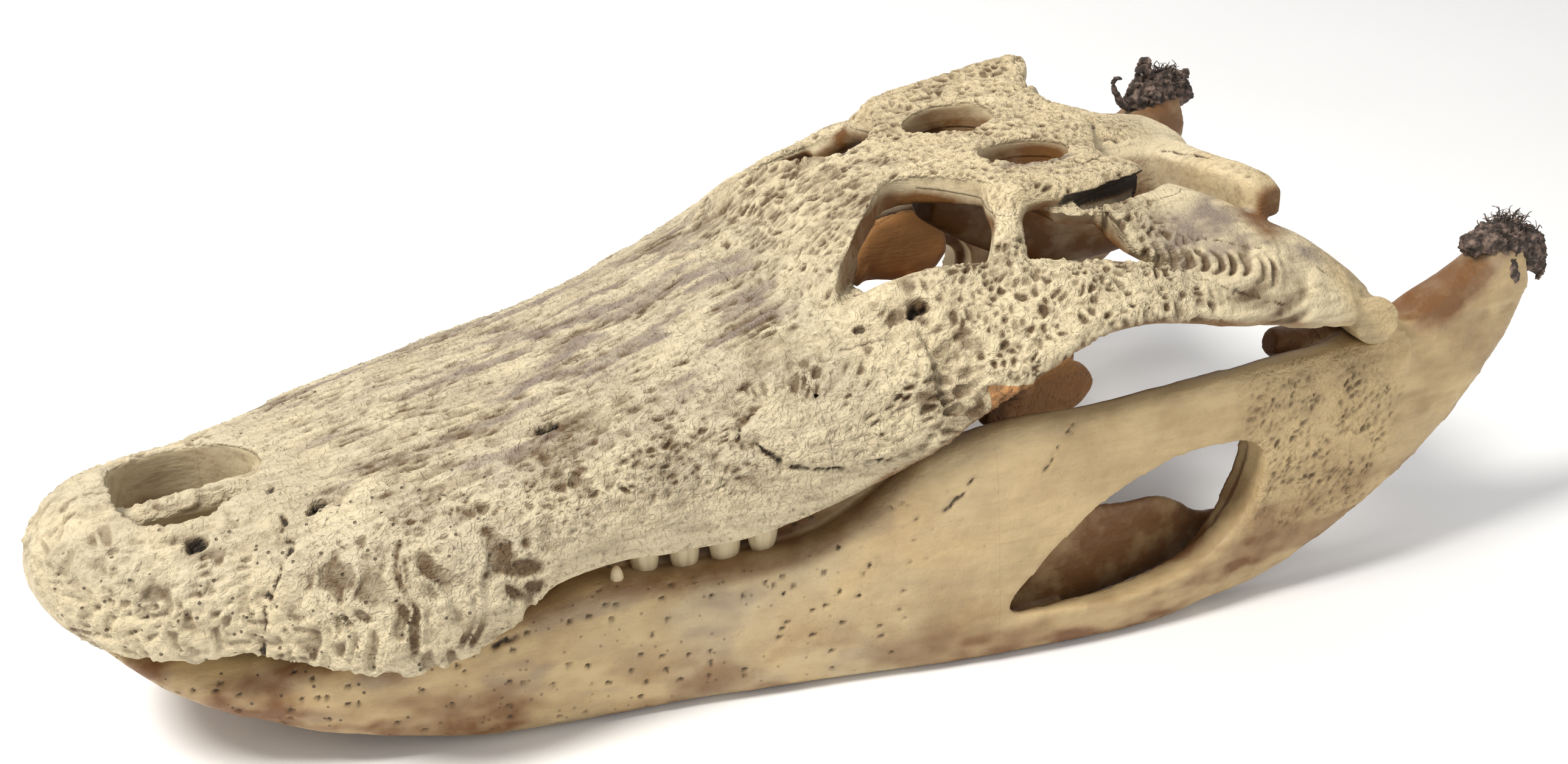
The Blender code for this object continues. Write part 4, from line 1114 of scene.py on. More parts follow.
def carry_masks(bone, keys, order, masks):
    """Puts the whole's masks on a parted bone by matching places. The new points along a cut
    take the mean of their neighbours, and the edge round each cut face is kept sharp."""
    mesh = bone.data
    points, _ = read_points(mesh)
    found = place_keys(points)
    at = np.clip(np.searchsorted(keys, found), 0, len(keys) - 1)
    known = keys[at] == found
    a, b = edge_ends(mesh)
    for name, values in masks.items():
        value = np.where(known, values[order[at]], 0.0)
        sure = known.astype(float)
        for _ in range(3):
            count = len(value)
            total = np.bincount(a, value[b] * sure[b], count) + np.bincount(b, value[a] * sure[a], count)
            weight = np.bincount(a, sure[b], count) + np.bincount(b, sure[a], count)
            fresh = (sure == 0) & (weight > 0)
            value[fresh] = total[fresh] / weight[fresh]
            sure[fresh] = 1
        layer = mesh.attributes.new(name, "FLOAT", "POINT")
        layer.data.foreach_set("value", value.astype(np.float32))
    sharpen_cuts(mesh, known)


def sharpen_cuts(mesh, known):
    """Smooth shading, with a sharp edge wherever an outer face meets the face of a cut."""
    corner_point = np.empty(len(mesh.loops), np.int32)
    corner_edge = np.empty(len(mesh.loops), np.int32)
    sizes = np.empty(len(mesh.polygons), np.int32)
    mesh.loops.foreach_get("vertex_index", corner_point)
    mesh.loops.foreach_get("edge_index", corner_edge)
    mesh.polygons.foreach_get("loop_total", sizes)
    face = np.repeat(np.arange(len(sizes)), sizes)
    cut_face = np.bincount(face, known[corner_point], len(sizes)) == 0
    touching = np.bincount(corner_edge, cut_face[face], len(mesh.edges))
    mesh.shade_smooth()
    layer = mesh.attributes.get("sharp_edge") or mesh.attributes.new("sharp_edge", "BOOLEAN", "EDGE")
    layer.data.foreach_set("value", touching == 1)


def grown(outline, distance):
    """The outline with every side moved outwards; it runs anticlockwise."""
    points = np.asarray(outline, float)
    side = np.roll(points, -1, axis=0) - points
    normal = np.column_stack([side[:, 1], -side[:, 0]]) / np.linalg.norm(side, axis=1)[:, None]
    before = np.roll(normal, 1, axis=0)
    share = (1 + (before * normal).sum(axis=1))[:, None]
    return points + distance * (before + normal) / share


def drop_scraps(obj):
    """Deletes loose bits that a cut left, so that the largest connected surface stays."""
    mesh = obj.data
    a, b = edge_ends(mesh)
    label = np.arange(len(mesh.vertices))
    for _ in range(MOST_ROUNDS):
        least = np.minimum(label[a], label[b])
        fresh = label.copy()
        np.minimum.at(fresh, a, least)
        np.minimum.at(fresh, b, least)
        fresh = fresh[fresh]
        if (fresh == label).all():
            break
        label = fresh
    names, counts = np.unique(label, return_counts=True)
    if len(names) == 1:
        return
    scrap = label != names[np.argmax(counts)]
    bm = bmesh.new()
    bm.from_mesh(mesh)
    bm.verts.ensure_lookup_table()
    bmesh.ops.delete(bm, geom=[bm.verts[i] for i in np.flatnonzero(scrap)], context="VERTS")
    bm.to_mesh(mesh)
    bm.free()


def take(whole, name, outline, axis, low, high, cut):
    """Cuts one bone out of the whole by a prism, leaving a hairline round it."""
    bone = copy_of(whole, name + SURFACE)
    boolean(bone, [straight_prism("cutter", outline, axis, low, high)], "INTERSECT")
    wider = straight_prism("cutter", grown(outline, cut), axis, low - cut, high + cut)
    boolean(whole, [wider], "DIFFERENCE")
    drop_scraps(bone)
    return bone


def take_box(whole, name, x, y, z, cut):
    """Cuts out what lies in a box."""
    outline = [(x[0], y[0]), (x[1], y[0]), (x[1], y[1]), (x[0], y[1])]
    return take(whole, name, outline, UPWARD, *z, cut)


def part_skull(skull, cut):
    """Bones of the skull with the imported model's names and slots, from the front backwards."""
    across = (-BEYOND, BEYOND)
    bones = [(take_box(skull, name, x, across, z, cut), slot) for name, x, z, slot in FRONT_BONES]
    for side, word in SIDES:
        for name, outline, x, slot in SIDE_BONES:
            outline = [(side * out, z) for out, z in outline][::side]
            bones.append((take(skull, name + word, outline, BACKWARD, *x, cut), slot))
    bones += [(take_box(skull, name, x, across, z, cut), slot) for name, x, z, slot in MIDDLE_BONES]
    drop_scraps(skull)
    skull.name = "brain_case" + SURFACE
    return bones + [(skull, "bone")]


def part_jaw(jaw, cut):
    """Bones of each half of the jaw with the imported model's names, from the front backwards."""
    bones = []
    for side, word in SIDES:
        y = sorted((side * cut / 2, side * BEYOND))
        bones += [(take_box(jaw, name + word, x, y, z, cut), "jaw_bone") for name, x, z in JAW_BONES]
    remove(jaw)
    return bones


def dress(piece, material, node_name=None):
    """Gives a piece its finish, body and slot, and lets it stand for a node if one is named."""
    piece.data.name = piece.name
    piece.data.materials.clear()
    piece.data.materials.append(material)
    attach(piece, "root")
    if node_name:
        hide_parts(node_name)


def carve_and_part(whole, relief, mask_maker, parter, step, sizes, finishes):
    """Refines the fused surface, wears it, parts it into bones and finishes each one."""
    refine(whole, step, 8)
    hollow, mark, p, n = wear(whole, relief, sizes.relief)
    masks = mask_maker(p, n, hollow, mark)
    points, _ = read_points(whole.data)
    keys = place_keys(points)
    order = np.argsort(keys)
    keys = keys[order]
    for bone, slot in parter(whole, sizes.cut / MM):
        carry_masks(bone, keys, order, masks)
        dress(bone, finishes[slot], bone.name.removesuffix(SURFACE))


def socket(group, name, kind, way, value=None):
    """Names one input or output of a node group."""
    made = group.interface.new_socket(name=name, in_out=way, socket_type=kind)
    if value is not None:
        made.default_value = value
    return made


def node(tree, kind, **settings):
    """Adds a node with its settings."""
    made = tree.nodes.new(kind)
    for key, value in settings.items():
        setattr(made, key, value)
    return made


def link(tree, source, target):
    tree.links.new(source, target)


def mix_colour(tree, factor, a, b, blend="MIX"):
    """Mix node in colour mode; a, b and factor are sockets or values."""
    mix = node(tree, "ShaderNodeMix", data_type="RGBA", blend_type=blend)
    for index, value in ((0, factor), (6, a), (7, b)):
        if isinstance(value, bpy.types.NodeSocket):
            link(tree, value, mix.inputs[index])
        else:
            mix.inputs[index].default_value = value
    return mix.outputs[2]


def maths(tree, operation, a, b=None, clamp=False):
    """Math node; a and b are sockets or values."""
    made = node(tree, "ShaderNodeMath", operation=operation, use_clamp=clamp)
    for index, value in enumerate((a, b)):
        if isinstance(value, bpy.types.NodeSocket):
            link(tree, value, made.inputs[index])
        elif value is not None:
            made.inputs[index].default_value = value
    return made.outputs[0]


def noise(tree, vector, scale, detail=4.0, rough=0.55):
    """Noise read at the vector."""
    made = node(tree, "ShaderNodeTexNoise")
    link(tree, vector, made.inputs["Vector"])
    made.inputs["Scale"].default_value = scale
    made.inputs["Detail"].default_value = detail
    made.inputs["Roughness"].default_value = rough
    return made.outputs[0]


def spread(tree, value, low, high, to_low=0.0, to_high=1.0):
    """Map Range from low..high to to_low..to_high, smooth and clamped."""
    made = node(tree, "ShaderNodeMapRange", interpolation_type="SMOOTHSTEP")
    link(tree, value, made.inputs[0])
    for index, number in enumerate((low, high, to_low, to_high), start=1):
        made.inputs[index].default_value = number
    return made.outputs[0]


def attribute(tree, name):
    """One of the piece's own masks."""
    return node(tree, "ShaderNodeAttribute", attribute_name=name).outputs["Fac"]


def object_place(tree):
    """Object coordinates."""
    return node(tree, "ShaderNodeTexCoord").outputs["Object"]


def scaled(tree, vector, scale):
    """The vector stretched along each axis."""
    made = node(tree, "ShaderNodeMapping")
    link(tree, vector, made.inputs["Vector"])
    made.inputs["Scale"].default_value = scale
    return made.outputs[0]


def cells(tree, vector, scale, low, high):
    """Voronoi distance to the nearest point, spread from 0 in the middle of a cell to 1 near its rim."""
    made = node(tree, "ShaderNodeTexVoronoi", feature="F1")
    link(tree, vector, made.inputs["Vector"])
    made.inputs["Scale"].default_value = scale
    return spread(tree, made.outputs["Distance"], low, high)


def wandering(tree, vector, scale, amount):
    """The vector pushed about by coloured noise, so that what is read from it wanders."""
    push = node(tree, "ShaderNodeTexNoise")
    link(tree, vector, push.inputs["Vector"])
    push.inputs["Scale"].default_value = scale
    less = node(tree, "ShaderNodeVectorMath", operation="SUBTRACT")
    link(tree, push.outputs["Color"], less.inputs[0])
    less.inputs[1].default_value = (0.5, 0.5, 0.5)
    more = node(tree, "ShaderNodeVectorMath", operation="MULTIPLY_ADD")
    link(tree, less.outputs[0], more.inputs[0])
    more.inputs[1].default_value = (amount,) * 3
    link(tree, vector, more.inputs[2])
    return more.outputs[0]


def grooves(tree, vector, scale, width):
    """Winding grooves: 0 where the noise is at its middle value, 1 away from it."""
    off = maths(tree, "SUBTRACT", noise(tree, vector, scale, 2, 0.5), 0.5)
    return spread(tree, maths(tree, "ABSOLUTE", off), 0.0, width)


def weathered_bone_group():
    """Bone colour, roughness and height: clean and greyed bone, dirt in the hollows and fine pits, brown
    stains and painted shade, purple-brown streaks, black seams and black painted shade, each where the bone's
    own masks put it."""
    group = bpy.data.node_groups.new("weathered_bone", "ShaderNodeTree")
    for name in BONE_TINTS:
        socket(group, name, "NodeSocketColor", "INPUT", (0.5, 0.5, 0.5, 1))
    socket(group, "Dirt Amount", "NodeSocketFloat", "INPUT", 0.8)
    socket(group, "Grain Amount", "NodeSocketFloat", "INPUT", 0.38)
    socket(group, "Color", "NodeSocketColor", "OUTPUT")
    socket(group, "Roughness", "NodeSocketFloat", "OUTPUT")
    socket(group, "Height", "NodeSocketFloat", "OUTPUT")
    inside, outside = node(group, "NodeGroupInput"), node(group, "NodeGroupOutput")
    tint = {name: inside.outputs[name] for name in BONE_TINTS}
    where = object_place(group)
    long_grain = scaled(group, where, (0.16, 1, 1))
    bent = wandering(group, where, 180, 0.003)

    def times(a, b):
        return maths(group, "MULTIPLY", a, b)

    def plus(a, b):
        return maths(group, "ADD", a, b)

    def cloud(scale, detail, low, high, to_low=0.0, to_high=1.0):
        return spread(group, noise(group, where, scale, detail), low, high, to_low, to_high)

    def where_mask(name, scale, low, high, detail=5):
        rough_edge = cloud(scale, detail, 0.28, 0.72, low, high)
        return maths(group, "MULTIPLY", attribute(group, name), rough_edge, True)

    def lay(colour, amount, over, most=1.0):
        return mix_colour(group, maths(group, "MULTIPLY", amount, most, True), colour, over)

    coarse = attribute(group, "coarse")
    pits = cells(group, bent, 400, 0.12, 0.5)
    fine_pits = cells(group, bent, 860, 0.12, 0.5)
    winding = grooves(group, bent, 330, 0.09)
    coarse_form = plus(plus(times(pits, 0.45), times(winding, 0.35)), times(fine_pits, 0.2))
    dots = maths(group, "SUBTRACT", 1.0, cells(group, where, 230, 0.09, 0.16))
    dots = times(dots, attribute(group, "pores"))

    colour = mix_colour(group, where_mask("grey", 60, 0.5, 1.2), tint["Clean"], tint["Grey"])
    colour = lay(colour, where_mask("warm", 70, 0.6, 1.1), tint["Warm"], 0.8)
    colour = lay(colour, cloud(38, 5, 0.42, 0.72), tint["Dirt"], 0.2)
    lines = spread(group, noise(group, long_grain, 300, 5, 0.65), 0.42, 0.7)
    colour = lay(colour, times(lines, inside.outputs["Grain Amount"]), tint["Dirt"])
    colour = lay(colour, where_mask("streak", 90, 0.5, 1.1, 6), tint["Streak"], 0.85)
    # Brown stain together with painted shade in recesses and on inner and downward faces
    colour = lay(colour, where_mask("stain", 55, 0.6, 1.25, 6), tint["Stain"])
    low_form = times(spread(group, coarse_form, 0.7, 0.1), coarse)
    dirty = maths(group, "MAXIMUM", spread(group, attribute(group, "hollow"), 0.05, 0.85),
                  times(low_form, 0.85))
    dirty = times(dirty, cloud(110, 5, 0.28, 0.7, 0.45, 1.15))
    colour = lay(colour, times(dirty, inside.outputs["Dirt Amount"]), tint["Dirt"])
    colour = lay(colour, dots, PORE_BROWN, 0.8)
    # Black seams, cracks and holes, with black painted shade in the ear recess and the mouth gap
    colour = lay(colour, spread(group, attribute(group, "mark"), 0.3, 1.0), SEAM_AND_SHADE_BLACK, 0.92)
    colour = lay(colour, cloud(700, 3, 0.6, 0.78), tint["Dirt"], 0.2)
    link(group, colour, outside.inputs["Color"])

    rough = plus(cloud(300, 4, 0.3, 0.7, -0.1, 0.1), times(coarse, 0.16))
    rough = plus(rough, times(attribute(group, "hollow"), 0.2))
    link(group, maths(group, "ADD", rough, 0.5, True), outside.inputs["Roughness"])
    grain = times(noise(group, long_grain, 800, 5, 0.6), 0.16)
    height = plus(grain, times(coarse_form, coarse))
    height = plus(height, times(noise(group, where, 240, 5, 0.5), 0.25))
    height = maths(group, "SUBTRACT", height, times(dots, 0.5))
    link(group, height, outside.inputs["Height"])
    return group


def new_finish(name):
    """A new material, with its node tree and its shader."""
    material = bpy.data.materials.new(name)
    material.use_nodes = True
    return material, material.node_tree, material.node_tree.nodes["Principled BSDF"]


def raise_surface(tree, shader, height, distance, strength=1.0):
    """Bump node from a height to the shader's normal."""
    made = node(tree, "ShaderNodeBump")
    made.inputs["Strength"].default_value = strength
    made.inputs["Distance"].default_value = distance
    link(tree, height, made.inputs["Height"])
    link(tree, made.outputs["Normal"], shader.inputs["Normal"])


def bone_material(name, group, tints, dirt_amount, grain, bump, gloss):
    """A finish made of the shared bone group, with its own colours and depth of grain."""
    material, tree, shader = new_finish(name)
    bone = node(tree, "ShaderNodeGroup", node_tree=group)
    for key, value in zip(BONE_TINTS, tints):
        bone.inputs[key].default_value = (*value, 1)
    bone.inputs["Dirt Amount"].default_value = dirt_amount
    bone.inputs["Grain Amount"].default_value = grain
    link(tree, bone.outputs["Color"], shader.inputs["Base Color"])
    link(tree, bone.outputs["Roughness"], shader.inputs["Roughness"])
    shader.inputs["Specular IOR Level"].default_value = gloss
    raise_surface(tree, shader, bone.outputs["Height"], 0.0014, bump)
    return material


def finishes_of(colours):
    """The finishes by slot, made once and shared by every piece that uses them."""
    group = bpy.data.node_groups.get("weathered_bone") or weathered_bone_group()
    c = colours
    # Tints in the order of BONE_TINTS, then the amounts of dirt and grain, the bump and the gloss
    recipes = {
        "bone": ((c.cream, c.grey, c.dirt, c.stain, c.streak, c.jaw), 1.0, 0.38, 0.9, 0.3),
        # Palate and pterygoid wings: greasy orange, with a painted glow of light through the thin wings
        "stained_bone": ((c.orange_grease_and_glow, c.stain, c.dirt, c.stain, c.streak, c.stain), 0.7, 0.2, 0.8, 0.4),
        "jaw_bone": ((c.jaw, c.grey, c.dirt, c.stain, c.streak, c.jaw), 0.85, 0.12, 0.7, 0.45),
    }
    return {slot: bpy.data.materials.get("finish_" + slot) or bone_material("finish_" + slot, group, *recipe)
            for slot, recipe in recipes.items()}


def fibre_material(name, colour, rough):
    """Dark dry fibres: colour varied by noise along each fibre."""
    material, tree, shader = new_finish(name)
    where = object_place(tree)
    vary = spread(tree, noise(tree, where, 300, 5), 0.42, 0.72)
    light = [min(1, 7 * c) for c in colour]
    link(tree, mix_colour(tree, vary, (*colour, 1), (*light, 1)), shader.inputs["Base Color"])
    shader.inputs["Roughness"].default_value = rough
    raise_surface(tree, shader, noise(tree, where, 1200, 4), 0.0005)
    return material


class SKULL_OT_skull_bones(bpy.types.Operator):
    """Build the bones of the skull, fused from smooth surfaces and worn by relief"""

    bl_idname = "skull.skull_bones"
    bl_label = "Skull bones"

    def execute(self, context):
        sizes = context.scene.skull_sizes
        carve_and_part(fused_skull(), skull_relief, skull_masks, part_skull, sizes.skull_step, sizes,
                       finishes_of(context.scene.skull_colours))
        return {"FINISHED"}


class SKULL_OT_jaw_bones(bpy.types.Operator):
    """Build the bones of the lower jaw, fused from smooth surfaces and worn by relief"""

    bl_idname = "skull.jaw_bones"
    bl_label = "Jaw bones"

    def execute(self, context):
        sizes = context.scene.skull_sizes
        carve_and_part(fused_jaw(), jaw_relief, jaw_masks, part_jaw, sizes.jaw_step, sizes,
                       finishes_of(context.scene.skull_colours))
        return {"FINISHED"}


def fibre_bundle(name, centre, spread_out, count, seed):
    """Curled fibres: each is a small ring carried along a path that starts on a lump,
    leans outwards and coils by a turn that grows with length."""
    draw = np.random.default_rng(seed)
    steps, sides = 14, 5
    t = np.linspace(0, 1, steps)[None, :, None]
    lean = draw.normal(size=(count, 3)) * (0.9, 0.8, 0.55) + (0, 0, 0.75)
    lean /= np.linalg.norm(lean, axis=1)[:, None]
    root = np.asarray(centre) + lean * spread_out * draw.uniform(0.25, 1.0, (count, 1))
    side = np.cross(lean, draw.normal(size=(count, 3)))
    side /= np.linalg.norm(side, axis=1)[:, None]
    other = np.cross(lean, side)
    length = draw.uniform(3, 9, (count, 1, 1))
    turn = draw.uniform(2, 7, (count, 1, 1)) * t + draw.uniform(0, FULL_CIRCLE, (count, 1, 1))
    curl = draw.uniform(0.6, 2.2, (count, 1, 1)) * t
    path = (root[:, None] + lean[:, None] * length * t * (1 - 0.35 * t)
            + curl * (np.cos(turn) * side[:, None] + np.sin(turn) * other[:, None]))
    along_path = np.gradient(path, axis=1)
    along_path /= np.linalg.norm(along_path, axis=2)[..., None]
    across = np.cross(along_path, side[:, None] + 0.37)
    across /= np.linalg.norm(across, axis=2)[..., None]
    third = np.cross(across, along_path)
    radius = draw.uniform(0.22, 0.5, (count, 1, 1)) * (1.05 - 0.75 * t)
    angle = full_turn(sides)
    ring = (np.cos(angle)[None, None, :, None] * across[:, :, None]
            + np.sin(angle)[None, None, :, None] * third[:, :, None])
    rings = place(path[:, :, None] + ring * radius[..., None])
    points = rings.reshape(-1, 3)
    base = (np.arange(count) * steps * sides)[:, None, None]
    row = (np.arange(steps - 1) * sides)[None, :, None]
    here, there = np.arange(sides)[None, None], ((np.arange(sides) + 1) % sides)[None, None]
    quads = np.stack(np.broadcast_arrays(base + row + here, base + row + there, base + row + sides + there,
                                         base + row + sides + here), axis=-1).reshape(-1, 4)
    tip = (np.arange(count) * steps * sides)[:, None] + np.arange(sides)[None, ::-1]
    end = tip[:, ::-1] + (steps - 1) * sides
    return new_object(name, points, quads.tolist() + tip.tolist() + end.tolist())


def roughen(obj, amount, size, seed):
    """Pushes each point in or out by noise of the given size, with finer ridges on it."""
    points, normals = read_points(obj.data)
    p = design(points)
    rough = amount * (billows(p / size, seed, 3) - 0.5)
    rough += 0.6 * amount * (ridges(p / (0.52 * size), seed + 3) - 0.5)
    write_points(obj.data, points + normals * rough[:, None] * MM)
    obj.data.shade_smooth()


def tissue_lump(name, rows, seed):
    """Crusty lump: a circle carried along the tip of the jaw, torn up by noise."""
    lump = tube(name, rows, 40, 30)
    refine(lump, 0.0006, 4)
    roughen(lump, 3.6, 5.0, seed)
    return lump


# Crust on the back tips of the jaw: x, y, z, radius along each
TISSUE_ROWS = {
    LEFT: [(501, -103, 121, 3), (508, -104, 121, 5), (516, -105, 121, 7), (525, -105, 118, 8),
           (532, -105, 113, 7), (536, -105, 106, 4)],
    RIGHT: [(500, 104, 115, 4), (508, 104, 119, 7), (516, 104, 121, 8), (524, 105, 120, 8),
            (530, 105, 116, 6), (532, 105, 112, 3)],
}
# Lump that the fibres start on: x, how far out, z, and its reach
FIBRE_ROOT = (521, 104.5, 121, 8.5)
# Thick curls that stand up from the crust: x, y, z, radius along each
CURLS = {
    LEFT: [
        [(506, -105, 119, 2.4), (503, -107, 122, 2.0), (500, -107, 123, 1.4), (498, -106, 122, 0.7)],
        [(534, -106, 112, 2.4), (538, -107, 108, 2.2), (539, -107, 104, 1.5), (538, -107, 101, 0.7)],
        [(519, -109, 116, 2.6), (518, -112, 111, 2.4), (520, -112, 106, 2.0), (518, -111, 102, 1.0)],
    ],
    RIGHT: [
        [(500, 103, 115, 2.0), (495, 102, 118, 1.7), (492, 102, 123, 1.4), (490, 102, 127, 1.1),
         (491, 102, 130, 0.9), (494, 102, 130, 0.6)],
        [(510, 104, 121, 3.0), (511, 104, 127, 2.6), (509, 103, 131, 2.4), (506, 103, 133, 2.0),
         (504, 103, 130, 1.5), (506, 103, 127, 1.0)],
        [(508, 103, 131, 2.0), (509, 103, 135, 1.9), (506, 103, 136, 1.2), (504, 103, 134, 0.6)],
        [(503, 104, 117, 1.6), (500, 103, 122, 1.4), (504, 103, 125, 1.2), (509, 104, 123, 1.0)],
        [(526, 105, 119, 2.4), (530, 105, 124, 2.4), (533, 105, 126, 1.8), (534, 105, 123, 0.8)],
        [(530, 106, 115, 1.6), (535, 106, 114, 1.2), (537, 106, 115, 0.6)],
    ],
}


class SKULL_OT_tissue(bpy.types.Operator):
    """Build the dried tissue and its curled fibres on the back tips of the jaw"""

    bl_idname = "skull.tissue"
    bl_label = "Dried tissue"

    def execute(self, context):
        every_fibre = context.scene.skull_sizes.fibres
        finish = fibre_material("finish_dried_tissue", context.scene.skull_colours.fibre, 0.85)
        x, out, z, reach = FIBRE_ROOT
        for side, word in SIDES:
            lump = tissue_lump("tissue_lump_" + word, TISSUE_ROWS[side], 300 + side)
            curls = grids_object("tissue_curls_" + word, [tube_rings(rows, 14, 26) for rows in CURLS[side]])
            roughen(curls, 1.1, 1.6, 310 + side)
            dress(curls, finish)
            dress(lump, finish, "tissue_" + word)
            count = every_fibre if side == RIGHT else every_fibre // 2
            fibres = fibre_bundle("tissue_fibres_" + word, (x, side * out, z), reach, count, 40 + side)
            fibres.data.shade_smooth()
            dress(fibres, finish)
        return {"FINISHED"}


def tooth_rings(x, y, top, bottom, radius, lean, sides=28, count=26):
    """Blunt peg: a slightly fluted circle carried down, its radius full for half the length
    and then closing as the root of one less the square of the distance to the tip."""
    t = np.linspace(0, 1, count)[:, None]
    angle = full_turn(sides)[None]
    tip = np.sqrt(np.clip(1 - ((t - 0.55) / 0.45) ** 2.2, 0, 1))
    close = np.where(t < 0.55, 1.0, tip * 0.96 + 0.04)
    flute = 1 + 0.025 * np.cos(7 * angle + 3 * t)
    size = radius * close * flute
    parts = (x + lean * t + size * np.cos(angle), y + 0.88 * size * np.sin(angle), top + (bottom - top) * t)
    return np.stack(np.broadcast_arrays(*parts), axis=-1)


def teeth_piece(name, pegs):
    """All pegs of one row in one mesh, with a mask that is 1 at each root and 0 at each tip."""
    rings = [tooth_rings(*peg) for peg in pegs]
    piece = grids_object(name, rings)
    count, sides = rings[0].shape[:2]
    down = np.concatenate([np.repeat(np.linspace(1, 0, count), sides), [1, 0]])
    layer = piece.data.attributes.new("root", "FLOAT", "POINT")
    layer.data.foreach_set("value", np.tile(down, len(pegs)).astype(np.float32))
    piece.data.shade_smooth()
    return piece


def enamel_material(cream):
    """Old enamel: ivory at the tip and brown towards the root, with fine lengthwise lines."""
    material, tree, shader = new_finish("finish_enamel")
    where = object_place(tree)
    lines = scaled(tree, where, (1, 1, 0.15))
    colour = (*cream, 1)
    for value, low, most, tint in (
            (noise(tree, lines, 380, 5), 0.4, 0.5, (0.33, 0.22, 0.12, 1)),
            (noise(tree, where, 120, 3), 0.45, 0.5, (0.40, 0.29, 0.15, 1)),
            (attribute(tree, "root"), 0.4, 0.9, (0.16, 0.09, 0.04, 1))):
        colour = mix_colour(tree, spread(tree, value, low, 0.75, 0.0, most), colour, tint)
    link(tree, colour, shader.inputs["Base Color"])
    shader.inputs["Roughness"].default_value = 0.4
    shader.inputs["Specular IOR Level"].default_value = 0.4
    return material


class SKULL_OT_teeth(bpy.types.Operator):
    """Build the blunt teeth that show between the jaws"""

    bl_idname = "skull.teeth"
    bl_label = "Teeth"

    def execute(self, context):
        finish = enamel_material(context.scene.skull_colours.cream)
        draw = np.random.default_rng(7)
        for side, word in SIDES:
            upper, lower = [], []
            for x, radius, length in UPPER_TEETH:
                line = along(SNOUT, [x])[0][1]
                out = along(JAW, [x])[0][0] - 4
                upper.append((x, side * out, line + 12, line - length, radius, draw.uniform(-0.8, 0.8)))
            for x, radius, length in LOWER_TEETH:
                out, top = along(JAW, [x])[0][:2]
                lower.append((x, side * (out + 3), top - 10, top + length, radius, draw.uniform(-0.5, 0.5)))
            for name, pegs, slot in (("teeth_upper_", upper, "bone"), ("teeth_lower_", lower, "jaw_bone")):
                dress(teeth_piece(name + word, pegs), finish)
        return {"FINISHED"}


def placed(right, up, ahead, spot):
    """Matrix of a camera or light at a spot that looks ahead along its own -Z."""
    matrix = np.eye(4)
    matrix[:3] = np.column_stack([right, up, -ahead, spot])
    return Matrix(matrix.tolist())


def camera_matrix():
    """Camera's matrix: it looks along yaw and pitch, and is rolled about the line it looks along."""
    yaw, pitch, roll = (math.radians(a) for a in (CAMERA_YAW, CAMERA_PITCH, CAMERA_ROLL))
    level = math.cos(pitch)
    ahead = np.array([math.sin(yaw) * level, math.cos(yaw) * level, math.sin(pitch)])
    right = np.array([math.cos(yaw), -math.sin(yaw), 0.0])
    up = np.cross(right, ahead)
    turned_right = right * math.cos(roll) + up * math.sin(roll)
    turned_up = -right * math.sin(roll) + up * math.cos(roll)
    return placed(turned_right, turned_up, ahead, place(CAMERA_PLACE))


def sweep(name, floor_z, half_width, near, far, bend, rise):
    """Seamless backdrop: a flat floor that turns up through a quarter circle and carries on as a wall."""
    turn = np.linspace(0, math.pi / 2, 24)
    profile = np.vstack([
        [(near, floor_z)],
        np.column_stack([far + bend * np.sin(turn), floor_z + bend * (1 - np.cos(turn))]),
        [(far + bend, floor_z + rise)],
    ])
    across = np.array([-half_width, half_width])
    count = len(profile)
    points = np.column_stack([np.repeat(across, count), np.tile(profile, (2, 1))])
    row = np.arange(count - 1)
    quads = np.column_stack([row, row + count, row + count + 1, row + 1])
    obj = new_object(name, points, quads.tolist())
    obj.data.shade_smooth()
    return obj


def area_light(name, spot, look_at, size, power, colour):
    """Round soft light at a spot, aimed at a place."""
    light = bpy.data.lights.new(name, "AREA")
    light.shape = "DISK"
    light.size = size
    light.energy = power
    light.color = colour
    obj = bpy.data.objects.new(name, light)
    bpy.context.scene.collection.objects.link(obj)
    ahead = np.asarray(look_at, float) - np.asarray(spot, float)
    ahead /= np.linalg.norm(ahead)
    right = np.cross(ahead, (0.01, 0.02, 1.0))
    right /= np.linalg.norm(right)
    obj.matrix_world = placed(right, np.cross(right, ahead), ahead, spot)


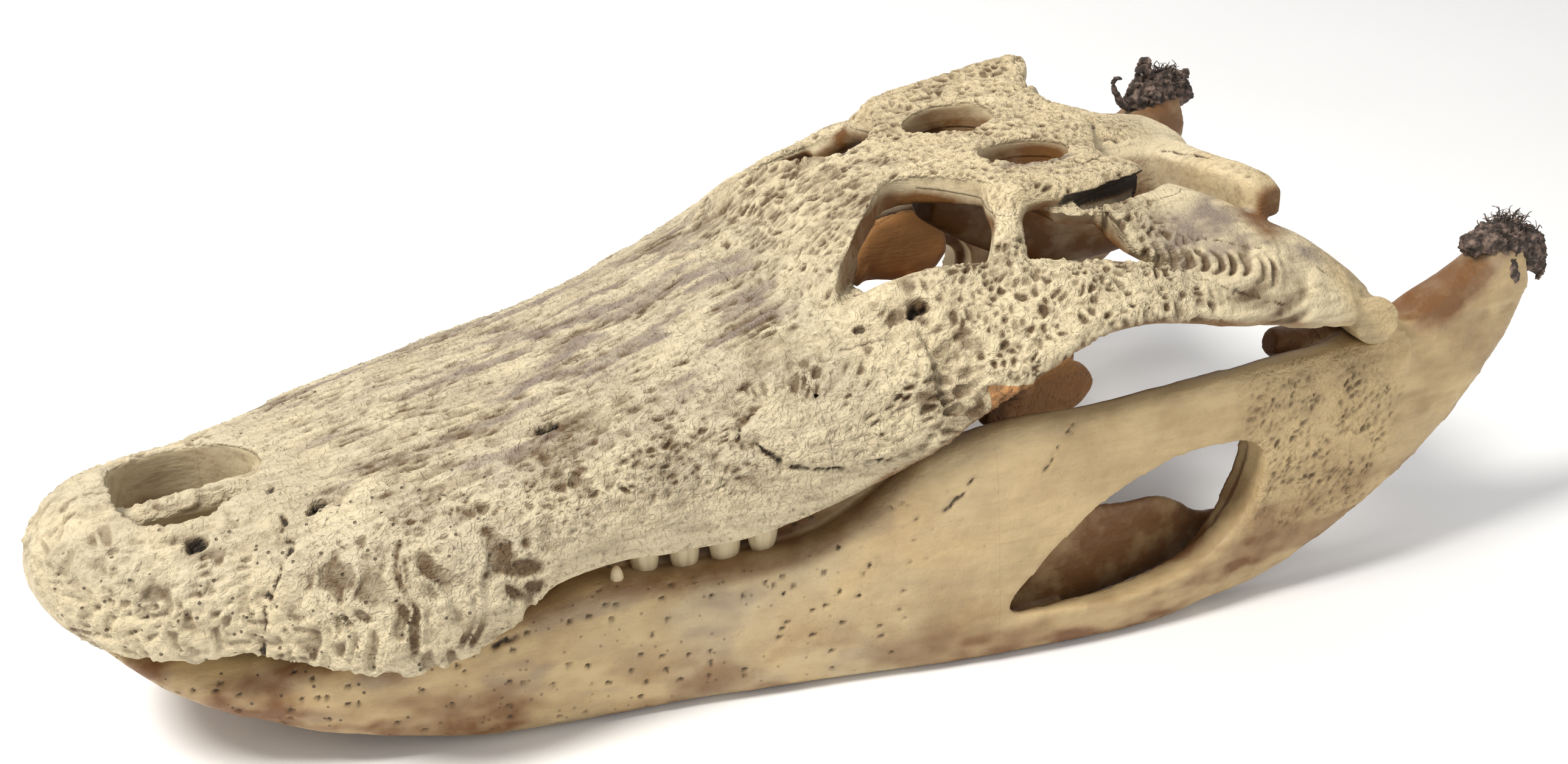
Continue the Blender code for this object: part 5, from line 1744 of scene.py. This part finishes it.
class SKULL_OT_stage(bpy.types.Operator):
    """Build the pale floor and backdrop, the soft lights and the camera"""

    bl_idname = "skull.stage"
    bl_label = "Stage"

    def execute(self, context):
        scene = context.scene
        floor = sweep("floor", CAD_LOW[2] - 0.0002, half_width=4.0, near=-3.0, far=1.3, bend=0.6, rise=3.0)
        material, tree, shader = new_finish("finish_floor")
        tone = scene.skull_colours.floor
        vary = spread(tree, noise(tree, object_place(tree), 2.0, 3), 0.3, 0.7)
        colour = mix_colour(tree, vary, (*tone, 1), (*(0.97 * c for c in tone), 1))
        link(tree, colour, shader.inputs["Base Color"])
        shader.inputs["Roughness"].default_value = 0.6
        floor.data.materials.append(material)
        world = bpy.data.worlds.new("studio")
        world.use_nodes = True
        background = world.node_tree.nodes["Background"]
        background.inputs["Color"].default_value = (1, 1, 1, 1)
        background.inputs["Strength"].default_value = WORLD_LIGHT
        scene.world = world
        scene.view_settings.view_transform = "Standard"
        for light in LIGHTS:
            area_light(*light)
        data = bpy.data.cameras.new("camera")
        data.sensor_width = CAMERA_SENSOR
        data.lens = CAMERA_LENS
        data.clip_start = 0.01
        camera = bpy.data.objects.new("camera", data)
        camera.matrix_world = camera_matrix()
        scene.collection.objects.link(camera)
        scene.camera = camera
        return {"FINISHED"}


class SKULL_PT_panel(bpy.types.Panel):
    """Lists the steps that build the skull"""

    bl_idname = "SKULL_PT_panel"
    bl_label = "Alligator skull"
    bl_space_type = "VIEW_3D"
    bl_region_type = "UI"
    bl_category = "Skull"

    def draw(self, context):
        scene = context.scene
        for group in (scene.skull_sizes, scene.skull_colours):
            for name in group.__annotations__:
                self.layout.prop(group, name)
        for operator in OPERATORS:
            self.layout.operator(operator.bl_idname)


OPERATORS = (SKULL_OT_skull_bones, SKULL_OT_jaw_bones, SKULL_OT_teeth, SKULL_OT_tissue, SKULL_OT_stage)
CLASSES = (SkullSizes, SkullColours) + OPERATORS + (SKULL_PT_panel,)


def register():
    for item in CLASSES:
        bpy.utils.register_class(item)
    bpy.types.Scene.skull_sizes = bpy.props.PointerProperty(type=SkullSizes)
    bpy.types.Scene.skull_colours = bpy.props.PointerProperty(type=SkullColours)


def unregister():
    del bpy.types.Scene.skull_sizes
    del bpy.types.Scene.skull_colours
    for item in reversed(CLASSES):
        bpy.utils.unregister_class(item)


def main():
    register()
    bpy.ops.skull.skull_bones()
    bpy.ops.skull.jaw_bones()
    bpy.ops.skull.teeth()
    bpy.ops.skull.tissue()
    bpy.ops.skull.stage()


if __name__ == "__main__":
    main()
